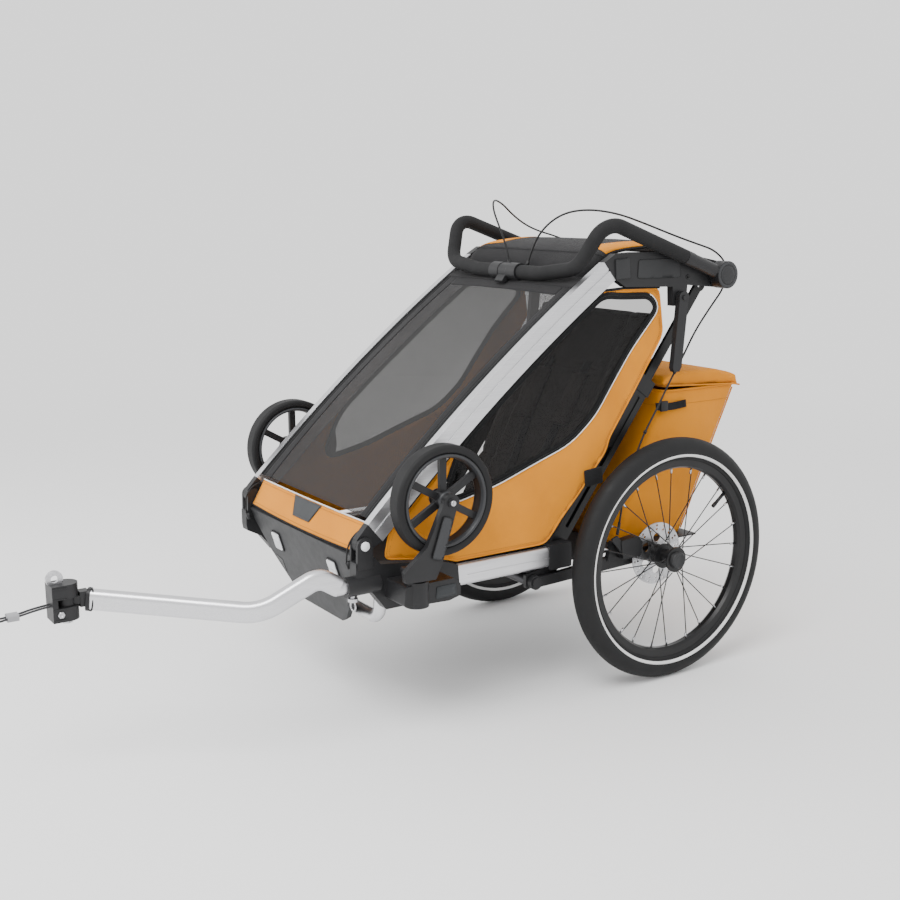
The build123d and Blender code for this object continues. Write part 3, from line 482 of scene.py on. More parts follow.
ORANGE = fabric("orange_fabric", (0.70, 0.255, 0.012), (0.60, 0.21, 0.009))
CHARCOAL = fabric("charcoal_fabric", (0.020, 0.0195, 0.0205), (0.014, 0.0136, 0.0145))
SEAT = fabric("seat_fabric", (0.030, 0.026, 0.024), (0.022, 0.019, 0.018), pitch=0.0022)
BINDING = fabric("black_binding", (0.009, 0.009, 0.0095), (0.006, 0.006, 0.0065), pitch=0.0012)
WEBBING = fabric("webbing", (0.014, 0.014, 0.015), (0.009, 0.009, 0.0095), pitch=0.0026)
COVER_MESH = see_through("cover_mesh", (0.022, 0.021, 0.021), (1, 1, 1), 0.0030,
                         (0, math.cos(RAIL_LEAN), math.sin(RAIL_LEAN)), 0.52)
WINDOW = film("window_film", (0.70, 0.695, 0.69), (0.018, 0.0175, 0.018), 0.74)
PIPING = fabric("reflective_piping", (0.80, 0.80, 0.79), (0.66, 0.66, 0.66), pitch=0.0010)
BLACK = plastic("black_plastic", (0.015, 0.015, 0.016), (0.010, 0.010, 0.011), 0.42)
GREY_BLACK = plastic("charcoal_plastic", (0.024, 0.0245, 0.026), (0.017, 0.0175, 0.0185), 0.5)
FOAM = plastic("grip_foam", (0.011, 0.011, 0.0115), (0.007, 0.007, 0.0075), 0.8, 420.0, 0.0006, 0)
BLACK_METAL = plastic("black_metal", (0.009, 0.009, 0.0095), (0.006, 0.006, 0.0065), 0.33, 1500.0,
                      0.00003, 0.0004)
LONG_Y = (1, 0.02, 1)
ALUMINIUM = metal("bright_aluminium", (0.70, 0.70, 0.715), (0.58, 0.58, 0.60), 0.33, LONG_Y)
CROSS_METAL = metal("dark_crossmember", (0.10, 0.10, 0.105), (0.07, 0.07, 0.075), 0.4, (0.02, 1, 1))
STEEL = metal("bright_steel", (0.58, 0.58, 0.59), (0.42, 0.42, 0.44), 0.27, (1, 1, 1), 260.0)
CABLE = plastic("cable_black", (0.008, 0.008, 0.0085), (0.006, 0.006, 0.0062), 0.45, 300.0, 0.00008, 0)
TETHER = fabric("tether_cord", (0.05, 0.05, 0.053), (0.022, 0.022, 0.023), pitch=0.0018)
REFLECTOR = plastic("reflector_white", (0.78, 0.79, 0.80), (0.62, 0.63, 0.65), 0.18, 380.0, 0.0006)
BADGE = plastic("badge_grey", (0.025, 0.028, 0.031), (0.019, 0.021, 0.023), 0.4, 700.0)
LOCK = plastic("toggle_grey", (0.33, 0.33, 0.34), (0.26, 0.26, 0.27), 0.5)
ORANGE_THREAD = fabric("orange_thread", (0.40, 0.16, 0.022), (0.34, 0.13, 0.018), pitch=0.0008)
DARK_THREAD = fabric("dark_thread", (0.055, 0.055, 0.057), (0.04, 0.04, 0.041), pitch=0.0008)
RIM_GREY = plastic("rim_grey", (0.034, 0.035, 0.038), (0.025, 0.026, 0.028), 0.36)


def paint(mat, *names):
    for name in names:
        data = nodes[name].data
        data.materials.clear()
        data.materials.append(mat)


def sided(*names):
    return [f"{name}_{side}" for name in names for side in ("left", "right")]


paint(ALUMINIUM, "side_rails", "lower_side_tubes", "hitch_arm", "front_tube")
paint(CROSS_METAL, "rear_crossmember", "top_crossmember")
paint(BLACK, "front_casting_left", "front_casting_right", "rear_fittings", "rail_shoes",
      "corner_castings", "hub_knobs", "brake_housing", "brake_lever", "hitch_neck",
      "hitch_head", *sided("release_lever", "fork", "caliper", "swing_arm", "front_rim"))
paint(GREY_BLACK, "bumper_shell", "floor_pan")
paint(BLACK_METAL, "strut_tracks", "strut_rods", "handlebar_tube", *sided("rear_rim", "rear_hub"))
paint(STEEL, "axle_eyelet", "hitch_bolt", "hitch_pin", *sided("rotor"))
paint(FOAM, "handlebar_foam")
paint(REFLECTOR, "front_reflectors")
paint(LOCK, "cord_lock")
for side_name, sign in (("left", 1), ("right", -1)):
    middle = tuple(at(sign * WHEEL_X, 0, AXLE_Z))
    paint(tyre_rubber("rear_tyre_rubber_" + side_name, middle, 46), "rear_tyre_" + side_name)
    middle = tuple(at(sign * FRONT_WHEEL[0], FRONT_WHEEL[1], FRONT_WHEEL[2]))
    paint(tyre_rubber("front_tyre_rubber_" + side_name, middle, 30), "front_tyre_" + side_name)


# ---- mesh kit -----------------------------------------------------------------------------
def build(name, verts, faces, mat, smooth=True):
    data = bpy.data.meshes.new(name)
    data.from_pydata([tuple(v) for v in verts], [], faces)
    data.materials.append(mat)
    data.polygons.foreach_set("use_smooth", [smooth] * len(data.polygons))
    data.update()
    return linked(name, data)


def on_body(piece, body, slot_name):
    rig.ride(piece, body)
    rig.slot(piece, slot_name)
    return piece


def settle(obj):
    """Turn what the modifiers make into the piece's own mesh."""
    graph = bpy.context.evaluated_depsgraph_get()
    data = bpy.data.meshes.new_from_object(obj.evaluated_get(graph))
    obj.modifiers.clear()
    obj.data = data
    return obj


def thicken(obj, thickness, offset=0.0):
    mod = obj.modifiers.new("thick", "SOLIDIFY")
    mod.thickness = thickness
    mod.offset = offset
    return settle(obj)


def clamped(t, top=1.0):
    return max(0.0, min(top, t))


def ease(t):
    t = clamped(t)
    return t * t * (3 - 2 * t)


def spread(place, count):
    """Points place(t) for t from 0 to 1 in count steps."""
    return [place(k / count) for k in range(count + 1)]


def v2(points):
    return [Vector(p) for p in points]


def facing(way, *profile):
    """(x, radius) points on the right side (way 1) or mirrored to the left (way -1)."""
    return [(way * x, r) for x, r in profile]


def ring_faces(rings, sides, closed=False):
    """Quads between rings of points that follow one another."""
    faces = []
    for i in range(rings if closed else rings - 1):
        j = (i + 1) % rings
        for k in range(sides):
            n = (k + 1) % sides
            faces.append((i * sides + k, i * sides + n, j * sides + n, j * sides + k))
    return faces


def sheet_faces(rows, columns):
    """Quads of a sheet whose points are stored row after row."""
    faces = []
    for i in range(rows):
        for j in range(columns):
            a = i * (columns + 1) + j
            faces.append((a, a + 1, a + columns + 2, a + columns + 1))
    return faces


def curve_through(points, steps=8, closed=False):
    """Smooth line through the points, a few steps between each pair."""
    pts = [Vector(p) for p in points]
    count = len(pts)
    line = []
    for i in range(count if closed else count - 1):
        a, b, c, d = (pts[j % count] if closed else pts[max(0, min(count - 1, j))]
                      for j in (i - 1, i, i + 1, i + 2))
        for k in range(steps):
            t = k / steps
            line.append(0.5 * (2 * b + (c - a) * t + (2 * a - 5 * b + 4 * c - d) * t * t
                               + (3 * b - a - 3 * c + d) * t * t * t))
    if not closed:
        line.append(pts[-1])
    return line


def frames_along(line, closed=False):
    """Tangent, side and up vectors carried along a line without twist."""
    count = len(line)
    result = []
    side_way = None
    for i in range(count):
        before = line[(i - 1) % count] if closed or i else line[0]
        after = line[(i + 1) % count] if closed or i < count - 1 else line[-1]
        way = (after - before).normalized()
        if side_way is None:
            side_way = way.orthogonal().normalized()
        side_way = (side_way - way * side_way.dot(way)).normalized()
        result.append((way, side_way, way.cross(side_way)))
    return result


def tube(name, line, radius, mat, closed=False, sides=8, flat=1.0):
    line = [Vector(p) for p in line]
    verts = []
    for p, (way, a, b) in zip(line, frames_along(line, closed)):
        for k in range(sides):
            turn = 2 * math.pi * k / sides
            verts.append(p + a * radius * math.cos(turn) + b * radius * flat * math.sin(turn))
    faces = ring_faces(len(line), sides, closed)
    if not closed:
        faces.append(tuple(range(sides))[::-1])
        faces.append(tuple((len(line) - 1) * sides + k for k in range(sides)))
    return build(name, verts, faces, mat)


def strap(name, line, across, width, mat, thickness=0.0014):
    """Flat webbing along a line; across is its width direction."""
    line = [Vector(p) for p in line]
    across = Vector(across).normalized()
    verts = [p + across * width * (k / 4 - 0.5) for p in line for k in range(5)]
    return thicken(build(name, verts, sheet_faces(len(line) - 1, 4), mat), thickness)


def grid(name, rows, columns, place, mat):
    """A sheet from place(u, v), u and v from 0 to 1."""
    verts = [place(j / columns, i / rows) for i in range(rows + 1) for j in range(columns + 1)]
    return build(name, verts, sheet_faces(rows, columns), mat)


def pad_block(name, centre, size, mat, edge, turn=(0, 0, 0), segments=3):
    """A moulded block with rounded edges."""
    work = bmesh.new()
    bmesh.ops.create_cube(work, size=1.0)
    bmesh.ops.scale(work, vec=size, verts=work.verts)
    bmesh.ops.bevel(work, geom=work.edges[:], offset=edge, segments=segments,
                    profile=0.5, affect="EDGES")
    spin = Euler(turn).to_matrix().to_4x4()
    work.transform(Matrix.Translation(centre) @ spin)
    data = bpy.data.meshes.new(name)
    work.to_mesh(data)
    work.free()
    data.materials.append(mat)
    shade_smooth(data)
    return linked(name, data)


def lathe_x(name, centre, profile, mat, steps=48):
    """Turn (x, radius) points about an axis along X through centre."""
    verts = []
    for x, r in profile:
        for k in range(steps):
            turn = 2 * math.pi * k / steps
            verts.append(Vector(centre) + Vector((x, r * math.cos(turn), r * math.sin(turn))))
    return build(name, verts, ring_faces(len(profile), steps), mat)


def rounded(points, radius, steps=5):
    """Cut a flat outline's corners off with short curves."""
    result = []
    count = len(points)
    for i in range(count):
        a, b, c = (Vector(points[j % count]) for j in (i - 1, i, i + 1))
        reach = min(radius, (a - b).length * 0.45, (c - b).length * 0.45)
        start = b + (a - b).normalized() * reach
        end = b + (c - b).normalized() * reach
        for k in range(steps + 1):
            t = k / steps
            result.append(start * (1 - t) ** 2 + b * 2 * t * (1 - t) + end * t * t)
    return result


def signed_area(outline):
    return sum(a.x * b.y - b.x * a.y for a, b in zip(outline, outline[1:] + outline[:1])) / 2


def moved_out(outline, distance):
    """The outline pushed outwards by distance (inwards if it is negative)."""
    count = len(outline)
    turn = 1 if signed_area(outline) > 0 else -1
    result = []
    for i in range(count):
        way = (outline[(i + 1) % count] - outline[i - 1]).normalized()
        result.append(outline[i] + Vector((way.y, -way.x)) * distance * turn)
    return result


def flat_area(outline):
    return abs(signed_area(outline))


def flat_size(outline, lean):
    """Width and length of a flat outline measured across and along a leaning direction."""
    way = Vector((math.cos(lean), math.sin(lean)))
    along = [p.dot(way) for p in outline]
    across = [p.x * way.y - p.y * way.x for p in outline]
    return max(across) - min(across), max(along) - min(along)


def inside(p, outline):
    hit = False
    for i in range(len(outline)):
        a, b = outline[i - 1], outline[i]
        if (a.y > p.y) != (b.y > p.y):
            if p.x < (b.x - a.x) * (p.y - a.y) / (b.y - a.y) + a.x:
                hit = not hit
    return hit


def near(p, outline, reach):
    return any((p - q).length < reach for q in outline)


def divided(points, step):
    """An open line with points no further apart than about one step."""
    result = []
    for a, b in zip(points, points[1:]):
        count = max(1, round((b - a).length / step))
        result += [a + (b - a) * k / count for k in range(count)]
    return result + [points[-1]]


def resampled(outline, step):
    return divided([*outline, outline[0]], step)[:-1]


def cut_sheet(name, outline, holes, step, place, mat):
    """A finely divided sheet with a flat (y, z) outline and holes, placed by place(y, z)."""
    loops = [resampled(loop, step) for loop in [outline, *holes]]
    points = [p for loop in loops for p in loop]
    edges = []
    start = 0
    for loop in loops:
        edges += [(start + k, start + (k + 1) % len(loop)) for k in range(len(loop))]
        start += len(loop)
    ys = [p.x for p in loops[0]]
    zs = [p.y for p in loops[0]]
    for i in range(int((max(ys) - min(ys)) / step) + 1):
        for j in range(int((max(zs) - min(zs)) / (step * 0.87)) + 1):
            p = Vector((min(ys) + (i + 0.5 * (j % 2)) * step, min(zs) + j * step * 0.87))
            if inside(p, outline) and not any(inside(p, h) for h in holes):
                if not any(near(p, loop, step * 0.6) for loop in loops):
                    points.append(p)
    flat, _, tris, *_ = delaunay_2d_cdt(points, edges, [], 0, 1e-6)
    faces = []
    for tri in tris:
        middle = sum((flat[k] for k in tri), Vector((0, 0))) / len(tri)
        if inside(middle, outline) and not any(inside(middle, h) for h in holes):
            faces.append(tuple(tri))
    return build(name, [place(p.x, p.y) for p in flat], faces, mat)


def stitches(name, line, mat, gap=0.0045, length=0.0028, radius=0.00038):
    """A run of sewn stitches, short rods that follow a line."""
    line = [Vector(p) for p in line]
    verts = []
    faces = []
    travelled = 0.0
    due = 0.0
    for a, b in zip(line, line[1:]):
        run = (b - a).length
        if run < 1e-9:
            continue
        way = (b - a) / run
        first = way.orthogonal().normalized()
        second = way.cross(first)
        while due < travelled + run:
            p = a + way * (due - travelled)
            base = len(verts)
            for end in (-0.5, 0.5):
                for k in range(4):
                    turn = math.pi / 2 * k
                    verts.append(p + way * length * end
                                 + (first * math.cos(turn) + second * math.sin(turn)) * radius)
            for k in range(4):
                n = (k + 1) % 4
                faces.append((base + k, base + n, base + 4 + n, base + 4 + k))
            due += gap
        travelled += run
    return build(name, verts, faces, mat)


def joined(name, pieces):
    """One object from several of the same material and body."""
    work = bmesh.new()
    for piece in pieces:
        work.from_mesh(piece.data)
    data = bpy.data.meshes.new(name)
    work.to_mesh(data)
    work.free()
    data.materials.append(pieces[0].data.materials[0])
    shade_smooth(data)
    for piece in pieces:
        bpy.data.objects.remove(piece)
    return linked(name, data)


# ---- cords --------------------------------------------------------------------------------
TETHER_ROUTE = [
    (0.0800, -1.179, 0.3120), (0.0810, -1.204, 0.3100), (0.0800, -1.228, 0.3050),
    (0.0795, -1.250, 0.3030), (0.0850, -1.272, 0.3010), (0.0990, -1.294, 0.2990),
    (0.0950, -1.320, 0.2970), (0.0710, -1.330, 0.2960), (0.0520, -1.316, 0.2970),
    (0.0530, -1.290, 0.2990), (0.0650, -1.270, 0.3010), (0.0705, -1.250, 0.3035),
    (0.0700, -1.228, 0.3055), (0.0690, -1.204, 0.3100), (0.0700, -1.179, 0.3125)]
LOW_CABLE = [
    (0.2315, 0.1551, 0.7487), (0.2295, 0.1151, 0.7007), (0.2305, 0.0831, 0.6507),
    (0.2325, 0.0451, 0.6007), (0.2305, 0.0151, 0.5487), (0.2295, -0.0189, 0.4987),
    (0.2325, -0.0469, 0.4467), (0.2375, -0.0769, 0.3967), (0.2475, -0.0909, 0.3427),
    (0.2610, -0.1120, 0.3080)]
LEFT_LOOP = [
    (0.0300, -0.1709, 0.8327), (0.0360, -0.1669, 0.8607), (0.0520, -0.1529, 0.9067),
    (0.0820, -0.1249, 0.9407), (0.1220, -0.0909, 0.9507), (0.1650, -0.0469, 0.9427),
    (0.2000, -0.0009, 0.9217), (0.2240, 0.0531, 0.8987), (0.2340, 0.1091, 0.8807),
    (0.2320, 0.1631, 0.8667), (0.2290, 0.2031, 0.8367), (0.2270, 0.2011, 0.7907)]
RIGHT_LOOP = [
    (-0.0300, -0.1709, 0.8327), (-0.0360, -0.1709, 0.8627), (-0.0500, -0.1809, 0.9087),
    (-0.0680, -0.1869, 0.9487), (-0.0980, -0.1649, 0.9707), (-0.1300, -0.1189, 0.9607),
    (-0.1620, -0.0689, 0.9367), (-0.1900, -0.0149, 0.9147), (-0.2140, 0.0411, 0.8987),
    (-0.2280, 0.0991, 0.8867), (-0.2320, 0.1571, 0.8687), (-0.2290, 0.2011, 0.8387),
    (-0.2270, 0.2011, 0.7907)]
TETHER_D = 0.0036
CABLE_D = 0.004
ELASTIC_D = 0.0032
CABLE_SHORT = 0.016
BOOT_LEN = 0.030


def nurbs(name, points, diameter):
    data = bpy.data.curves.new(name, "CURVE")
    data.dimensions = "3D"
    data.bevel_depth = diameter / 2
    data.bevel_resolution = 3
    data.resolution_u = 12
    spline = data.splines.new("NURBS")
    spline.points.add(len(points) - 1)
    for spot, p in zip(spline.points, points):
        spot.co = (*at(*p), 1)
    spline.order_u = 3
    spline.use_endpoint_u = True
    return linked(name, data)


def line_of(points):
    """The smooth line that the route's NURBS spline follows."""
    route = nurbs("route", points, 0.0)
    graph = bpy.context.evaluated_depsgraph_get()
    data = bpy.data.meshes.new_from_object(route.evaluated_get(graph))
    line = [v.co.copy() for v in data.vertices]
    bpy.data.objects.remove(route)
    bpy.data.meshes.remove(data)
    return line


def length_of(line):
    return sum((b - a).length for a, b in zip(line, line[1:]))


def make_tether():
    cord = nurbs("safety_tether_cord", TETHER_ROUTE, TETHER_D)
    cord.data.materials.append(TETHER)
    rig.ride(cord, "hitch_head")
    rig.replaces(cord, "safety_tether")
    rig.slot(cord, "tether_cord")
    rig.cord(cord, exit=at(*TETHER_ROUTE[0]), length=0.330, diameter=TETHER_D,
            far_end="object", stiffness="limp", lay="taut", with_pieces=[nodes["cord_lock"]])


def make_cable_boot(name, line, sign):
    """Rubber boot on the caliper that slides over the cable's end as the arm springs."""
    boot = tube(name, line, 0.0031, BLACK, sides=12)
    on_body(boot, "swing_left" if sign > 0 else "swing_right", "black_plastic")


def make_brake_cable(name, route, sign):
    """The cable in two pieces that meet in the clip on the upper corner."""
    line = line_of(route)
    end = next(i for i in range(len(line)) if (line[i] - line[-1]).length < CABLE_SHORT)
    boot_start = next(i for i in range(len(line)) if (line[i] - line[-1]).length < BOOT_LEN)
    make_cable_boot(name + "_boot", line[boot_start:], sign)
    line = line[:end]
    clip = min(range(len(line)), key=lambda i: (line[i] - at(sign * 0.229, 0.19, 0.815)).length)
    loop = line[:clip + 1]
    drop = line[clip:]
    upper = tube(name + "_loop", loop, CABLE_D / 2, CABLE, sides=10)
    lower = tube(name + "_drop", drop, CABLE_D / 2, CABLE, sides=10)
    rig.blend(upper, "upper_frame", "handlebar", start=at(0, 0.02, 0.9), end=at(0, -0.15, 0.86))
    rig.blend(lower, "base", "upper_frame", start=drop[-1], end=drop[0])
    for piece, path in ((upper, loop), (lower, drop)):
        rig.replaces(piece, name)
        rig.slot(piece, "cable_black")
        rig.cord(piece, exit=path[0], length=length_of(path), diameter=CABLE_D, far_end="object",
                stiffness="stiff", lay="hanging", path=path)
    return loop, drop


def make_corner_elastic(name, sign):
    """Elastic that holds the cover's corner down to a hook on the bumper."""
    points = [(sign * 0.2195, -0.668, AXLE_Z + 0.147), (sign * 0.2200, -0.682, AXLE_Z + 0.143),
              (sign * 0.2190, -0.697, AXLE_Z + 0.126), (sign * 0.2170, -0.702, AXLE_Z + 0.104),
              (sign * 0.2130, -0.700, AXLE_Z + 0.085)]
    cord = nurbs(name, points, ELASTIC_D)
    cord.data.materials.append(CABLE)
    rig.ride(cord, "base")
    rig.slot(cord, "cable_black")
    line = line_of(points)
    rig.cord(cord, exit=line[0], length=length_of(line), diameter=ELASTIC_D, far_end="object",
            stiffness="limp", lay="taut")
    ends = [line[-1] + Vector((0, 0.002, 0.004)), line[-1] + Vector((0, 0.006, -0.008))]
    on_body(tube(name + "_hook", ends, 0.0048, BLACK, sides=12), "base", "black_plastic")


make_tether()
make_corner_elastic("corner_elastic_left", 1)
make_corner_elastic("corner_elastic_right", -1)
left_loop, left_drop = make_brake_cable("brake_cable_left", LEFT_LOOP + LOW_CABLE, 1)
right_loop, right_drop = make_brake_cable("brake_cable_right",
                                          RIGHT_LOOP + [(-x, y, z) for x, y, z in LOW_CABLE], -1)


# ---- side panels and windows ----------------------------------------------------------------
def window_line():
    foot = [(-0.505, 0.431), (-0.404, 0.452), (-0.315, 0.483), (-0.223, 0.513),
            (-0.163, 0.561), (-0.128, 0.610), (-0.073, 0.683), (-0.001, 0.757)]
    roof = [(TOP[0] + 0.106, TOP[1] - 0.058), (TOP[0] + 0.032, TOP[1] - 0.056)]
    eaves = [rail(RAIL_LEN * t, -0.0365) for t in (0.94, 0.75, 0.5, 0.33)]
    return rounded(v2(foot + roof + eaves), 0.030, 4)


def panel_line():
    low = TUBE_TOP + 0.0065
    eaves = [rail(RAIL_LEN * t, -0.0245) for t in (0.03, 0.25, 0.5, 0.75, 0.96)]
    rear = [(TOP[0] + 0.038, TOP[1] - 0.0355), (TOP[0] + 0.136, TOP[1] - 0.0375),
            (TOP[0] + 0.150, TOP[1] - 0.130), (TOP[0] + 0.082, TOP[1] - 0.228),
            (TOP[0] + 0.008, TOP[1] - 0.330), (TOP[0], TOP[1] - 0.356), (-0.273, low)]
    foot = [(-0.468, low), (-0.481, AXLE_Z + 0.058), (-0.520, AXLE_Z + 0.071),
            (-0.635, AXLE_Z + 0.087)]
    return rounded(v2(eaves + rear + foot), 0.014, 3)


def panel_x(y, z):
    """How far out the taut side wall stands at a point: drawn in at its edges."""
    along = (y - FOLD[0]) / 0.70
    eaves = rail(clamped((y - FOOT[0]) / math.cos(RAIL_LEAN), RAIL_LEN), -0.024)[1]
    up = (z - TUBE_TOP) / max(0.05, eaves - TUBE_TOP)
    swell = math.sin(math.pi * clamped(along)) * math.sin(math.pi * clamped(up))
    pull = 0.0012 * noise.noise(Vector((y * 9, z * 4, 0.3)))
    low_part = ease((0.50 - z) / 0.16) * ease((z - 0.30) / 0.05)
    drape = 0.0016 * math.sin(46 * (y + 0.55 * z)) * low_part
    return RAIL_X - 0.0012 + 0.0085 * math.sqrt(max(0.0, swell)) + pull + drape


def make_side(sign, side_name):
    def place(y, z, out=0.0):
        return at(sign * (panel_x(y, z) + out), y, z)

    window = window_line()
    outer = panel_line()
    frame_line = moved_out(window, 0.011)
    pieces = {}
    panel = cut_sheet("side_panel_" + side_name, outer, [frame_line], 0.011, place, ORANGE)
    pieces["panel"] = thicken(panel, 0.0012)
    border = cut_sheet("window_border_" + side_name, moved_out(window, 0.013), [window], 0.007,
                       lambda y, z: place(y, z, 0.0007), BINDING)
    pieces["border"] = thicken(border, 0.0012)
    pane = cut_sheet("side_window_film_" + side_name, moved_out(window, 0.002), [], 0.012,
                     lambda y, z: place(y, z, -0.0002 - 0.0008 * abs(noise.noise(
                         Vector((y * 7, z * 7, 2))))), WINDOW)
    pieces["pane"] = pane
    lower_edge = moved_out(window, 0.0125)[:43]
    bead = [place(p.x, p.y, 0.0012) for p in divided(lower_edge, 0.006)]
    pieces["bead"] = tube("window_piping_" + side_name, bead, 0.0013, PIPING, sides=6)
    top_edge = v2([rail(RAIL_LEN * t, -0.0252) for t in (0.06, 0.25, 0.5, 0.75, 0.955)]
                  + [(TOP[0] + 0.040, TOP[1] - 0.0345), (TOP[0] + 0.136, TOP[1] - 0.0362)])
    upper = [place(p.x, p.y, 0.0010) for p in divided(top_edge, 0.012)]
    pieces["binding"] = tube("side_panel_binding_" + side_name, upper, 0.0027, BINDING, sides=8)
    inner = [place(p.x, p.y, 0.0010) for p in resampled(moved_out(window, 0.001), 0.008)]
    pieces["rim"] = tube("window_edge_roll_" + side_name, inner, 0.0018, BINDING, closed=True, sides=6)
    hem = [place(p.x, p.y, 0.0004) for p in resampled(moved_out(outer, -0.001), 0.008)]
    pieces["hem"] = tube("side_panel_hem_" + side_name, hem, 0.0019, ORANGE, closed=True, sides=6)
    seam_at = [place(p.x, p.y, 0.0009) for p in resampled(moved_out(outer, -0.008), 0.008)]
    pieces["sewn"] = stitches("side_panel_stitching_" + side_name, seam_at, ORANGE_THREAD)
    seam_at = [place(p.x, p.y, 0.0016) for p in resampled(moved_out(window, 0.0065), 0.008)]
    pieces["sewn_window"] = stitches("window_stitching_" + side_name, seam_at, DARK_THREAD)
    return pieces


SIDE_SLOTS = {"panel": "orange_fabric", "hem": "orange_fabric", "sewn": "orange_fabric",
              "pane": "tinted_window"}
SIDE_KEEP = 0.26
BAG_KEEP = 0.14


def give_fold(obj, slot_name, keep=SIDE_KEEP, body="base"):
    """Soft goods that the folding frame presses down towards the lower side tubes."""
    on_body(obj, body, slot_name)
    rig.squash(obj, "frame_fold", axis=(0, 0, 1), anchor=at(0, 0, TUBE_TOP), keep=keep)


for side_name, sign in (("left", 1), ("right", -1)):
    for key, piece in make_side(sign, side_name).items():
        give_fold(piece, SIDE_SLOTS.get(key, "charcoal_fabric"))
        if key == "panel":
            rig.replaces(piece, "side_panels")
            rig.sheet(piece, flat=flat_size(panel_line(), RAIL_LEAN), held="stretched",
                     area=flat_area(panel_line()) - flat_area(moved_out(window_line(), 0.011)),
                     rests_on=["side_rails", "lower_side_tubes"])
        if key == "pane":
            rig.replaces(piece, "side_windows")


# ---- front cover ------------------------------------------------------------------------------
COVER_START = 0.012
COVER_END = RAIL_LEN - 0.072


def cover_point(x, along, lift=0.0):
    """A point on the stretched cover; it bulges between the rails."""
    across = 1 - (x / RAIL_IN) ** 2
    bulge = 0.013 * across * math.sin(math.pi * clamped((along - COVER_START) / 0.62)) ** 0.7
    ripple = 0.0008 * noise.noise(Vector((x * 11, along * 6, 4.2)))
    y, z = rail(along, 0.0180 + bulge + ripple + lift)
    return at(x, y, z)


def cover_patch(name, x0, x1, a0, a1, lift, mat, rows, columns):
    return grid(name, rows, columns,
                lambda u, v: cover_point(x0 + (x1 - x0) * u, a0 + (a1 - a0) * v, lift), mat)


def make_front_cover():
    half = RAIL_IN - 0.0015
    cloth = thicken(cover_patch("front_cover_mesh", -half, half, COVER_START, COVER_END, 0,
                                COVER_MESH, 74, 50), 0.0006)
    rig.replaces(cloth, "front_cover")
    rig.sheet(cloth, flat=(2 * half, COVER_END - COVER_START + 0.004), held="stretched",
             rests_on=["side_rails"])
    made = [cloth]
    borders = [("cover_binding_0", -half, -half + 0.013, 0.0008, BINDING, 4, 0.0012),
               ("cover_binding_1", half - 0.013, half, 0.0008, BINDING, 4, 0.0012),
               ("cover_border_right", -half + 0.013, -half + 0.040, 0.0005, CHARCOAL, 5, 0.0010),
               ("cover_border_left", half - 0.030, half - 0.013, 0.0005, CHARCOAL, 4, 0.0010)]
    for name, x0, x1, lift, mat, columns, thickness in borders:
        band = cover_patch(name, x0, x1, COVER_START, COVER_END, lift, mat, 60, columns)
        made.append(thicken(band, thickness))
    top = cover_patch("cover_border_top", -half + 0.040, half - 0.030, COVER_END - 0.030, COVER_END,
                      0.0005, CHARCOAL, 6, 50)
    made.append(thicken(top, 0.0010))
    apron = grid("roof_apron", 8, 50,
                 lambda u, v: cover_point(-half + 2 * half * u, COVER_END - 0.006 + 0.046 * v,
                                          0.0016 - 0.012 * v * v), CHARCOAL)
    made.append(thicken(apron, 0.0012))
    for i, x in enumerate((-half + 0.0395, half - 0.0305)):
        line = spread(lambda t: cover_point(x, COVER_START + 0.6014 * t, 0.0016), 70)
        made.append(stitches(f"cover_stitching_{i}", line, DARK_THREAD))
    for i, side in enumerate((-1, 1)):
        line = spread(lambda t: cover_point(side * (half - 0.001),
                                            COVER_START + (COVER_END - COVER_START) * t, 0.0004), 60)
        made.append(tube(f"cover_edge_cord_{i}", line, 0.0030, BINDING, sides=8))
    for piece in made:
        on_body(piece, "upper_frame", "charcoal_fabric")


make_front_cover()


# ---- strip and badge across the foot of the cover ----------------------------------------------
def strip_point(u, v, lift=0.0):
    """u from the right end to the left one, v from the lower edge to the upper."""
    x = (u * 2 - 1) * (RAIL_X - 0.0165)
    bow = 1 - (u * 2 - 1) ** 2
    drop = -0.004 * bow * (1 - v)
    y = -0.682 + 0.027 * v - 0.006 * bow * (0.4 + 0.6 * v) - 0.86 * lift + drop * 0.5
    z = AXLE_Z + 0.106 + 0.046 * v + 0.0015 * bow + 0.5 * lift + drop
    return at(x, y - 0.0015, z)


def make_strip():
    made = []
    body = thicken(grid("front_strip_fabric", 12, 64, lambda u, v: strip_point(u, v, 0.001), ORANGE),
                   0.0030)
    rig.replaces(body, "front_strip")
    made.append((body, "orange_fabric"))
    line = spread(lambda t: strip_point(t, 1.03, 0.0025), 60)
    made.append((tube("front_strip_piping", line, 0.0015, PIPING, sides=8), "charcoal_fabric"))
    line = spread(lambda t: strip_point(t, -0.02, 0.0010), 60)
    made.append((tube("front_strip_lower_edge", line, 0.0018, BINDING, sides=8), "charcoal_fabric"))
    for v, tag in ((0.90, "top"), (0.10, "foot")):
        line = spread(lambda t: strip_point(0.02 + 0.96 * t, v, 0.0029), 60)
        made.append((stitches("front_strip_stitching_" + tag, line, ORANGE_THREAD), "orange_fabric"))

    def badge(u, v):
        return strip_point(0.5 + (u - 0.5) * (0.155 + 0.10 * v), 0.30 + 0.68 * v, 0.0036)

    plate = grid("front_badge_plate", 6, 16, badge, BADGE)
    made.append((thicken(plate, 0.0016), "charcoal_plastic"))
    for piece, slot_name in made:
        on_body(piece, "base", slot_name)


make_strip()


# ---- roof -----------------------------------------------------------------------------------
def roof_line():
    y, z = TOP
    spots = [(y - 0.034, z - 0.022), (y - 0.022, z + 0.014), (y + 0.016, z + 0.041),
             (y + 0.100, z + 0.051), (y + 0.190, z + 0.048), (y + 0.250, z + 0.024)]
    return [Vector((p.x, p.y)) for p in curve_through([(a, b, 0) for a, b in spots], 10)]


ROOF = roof_line()


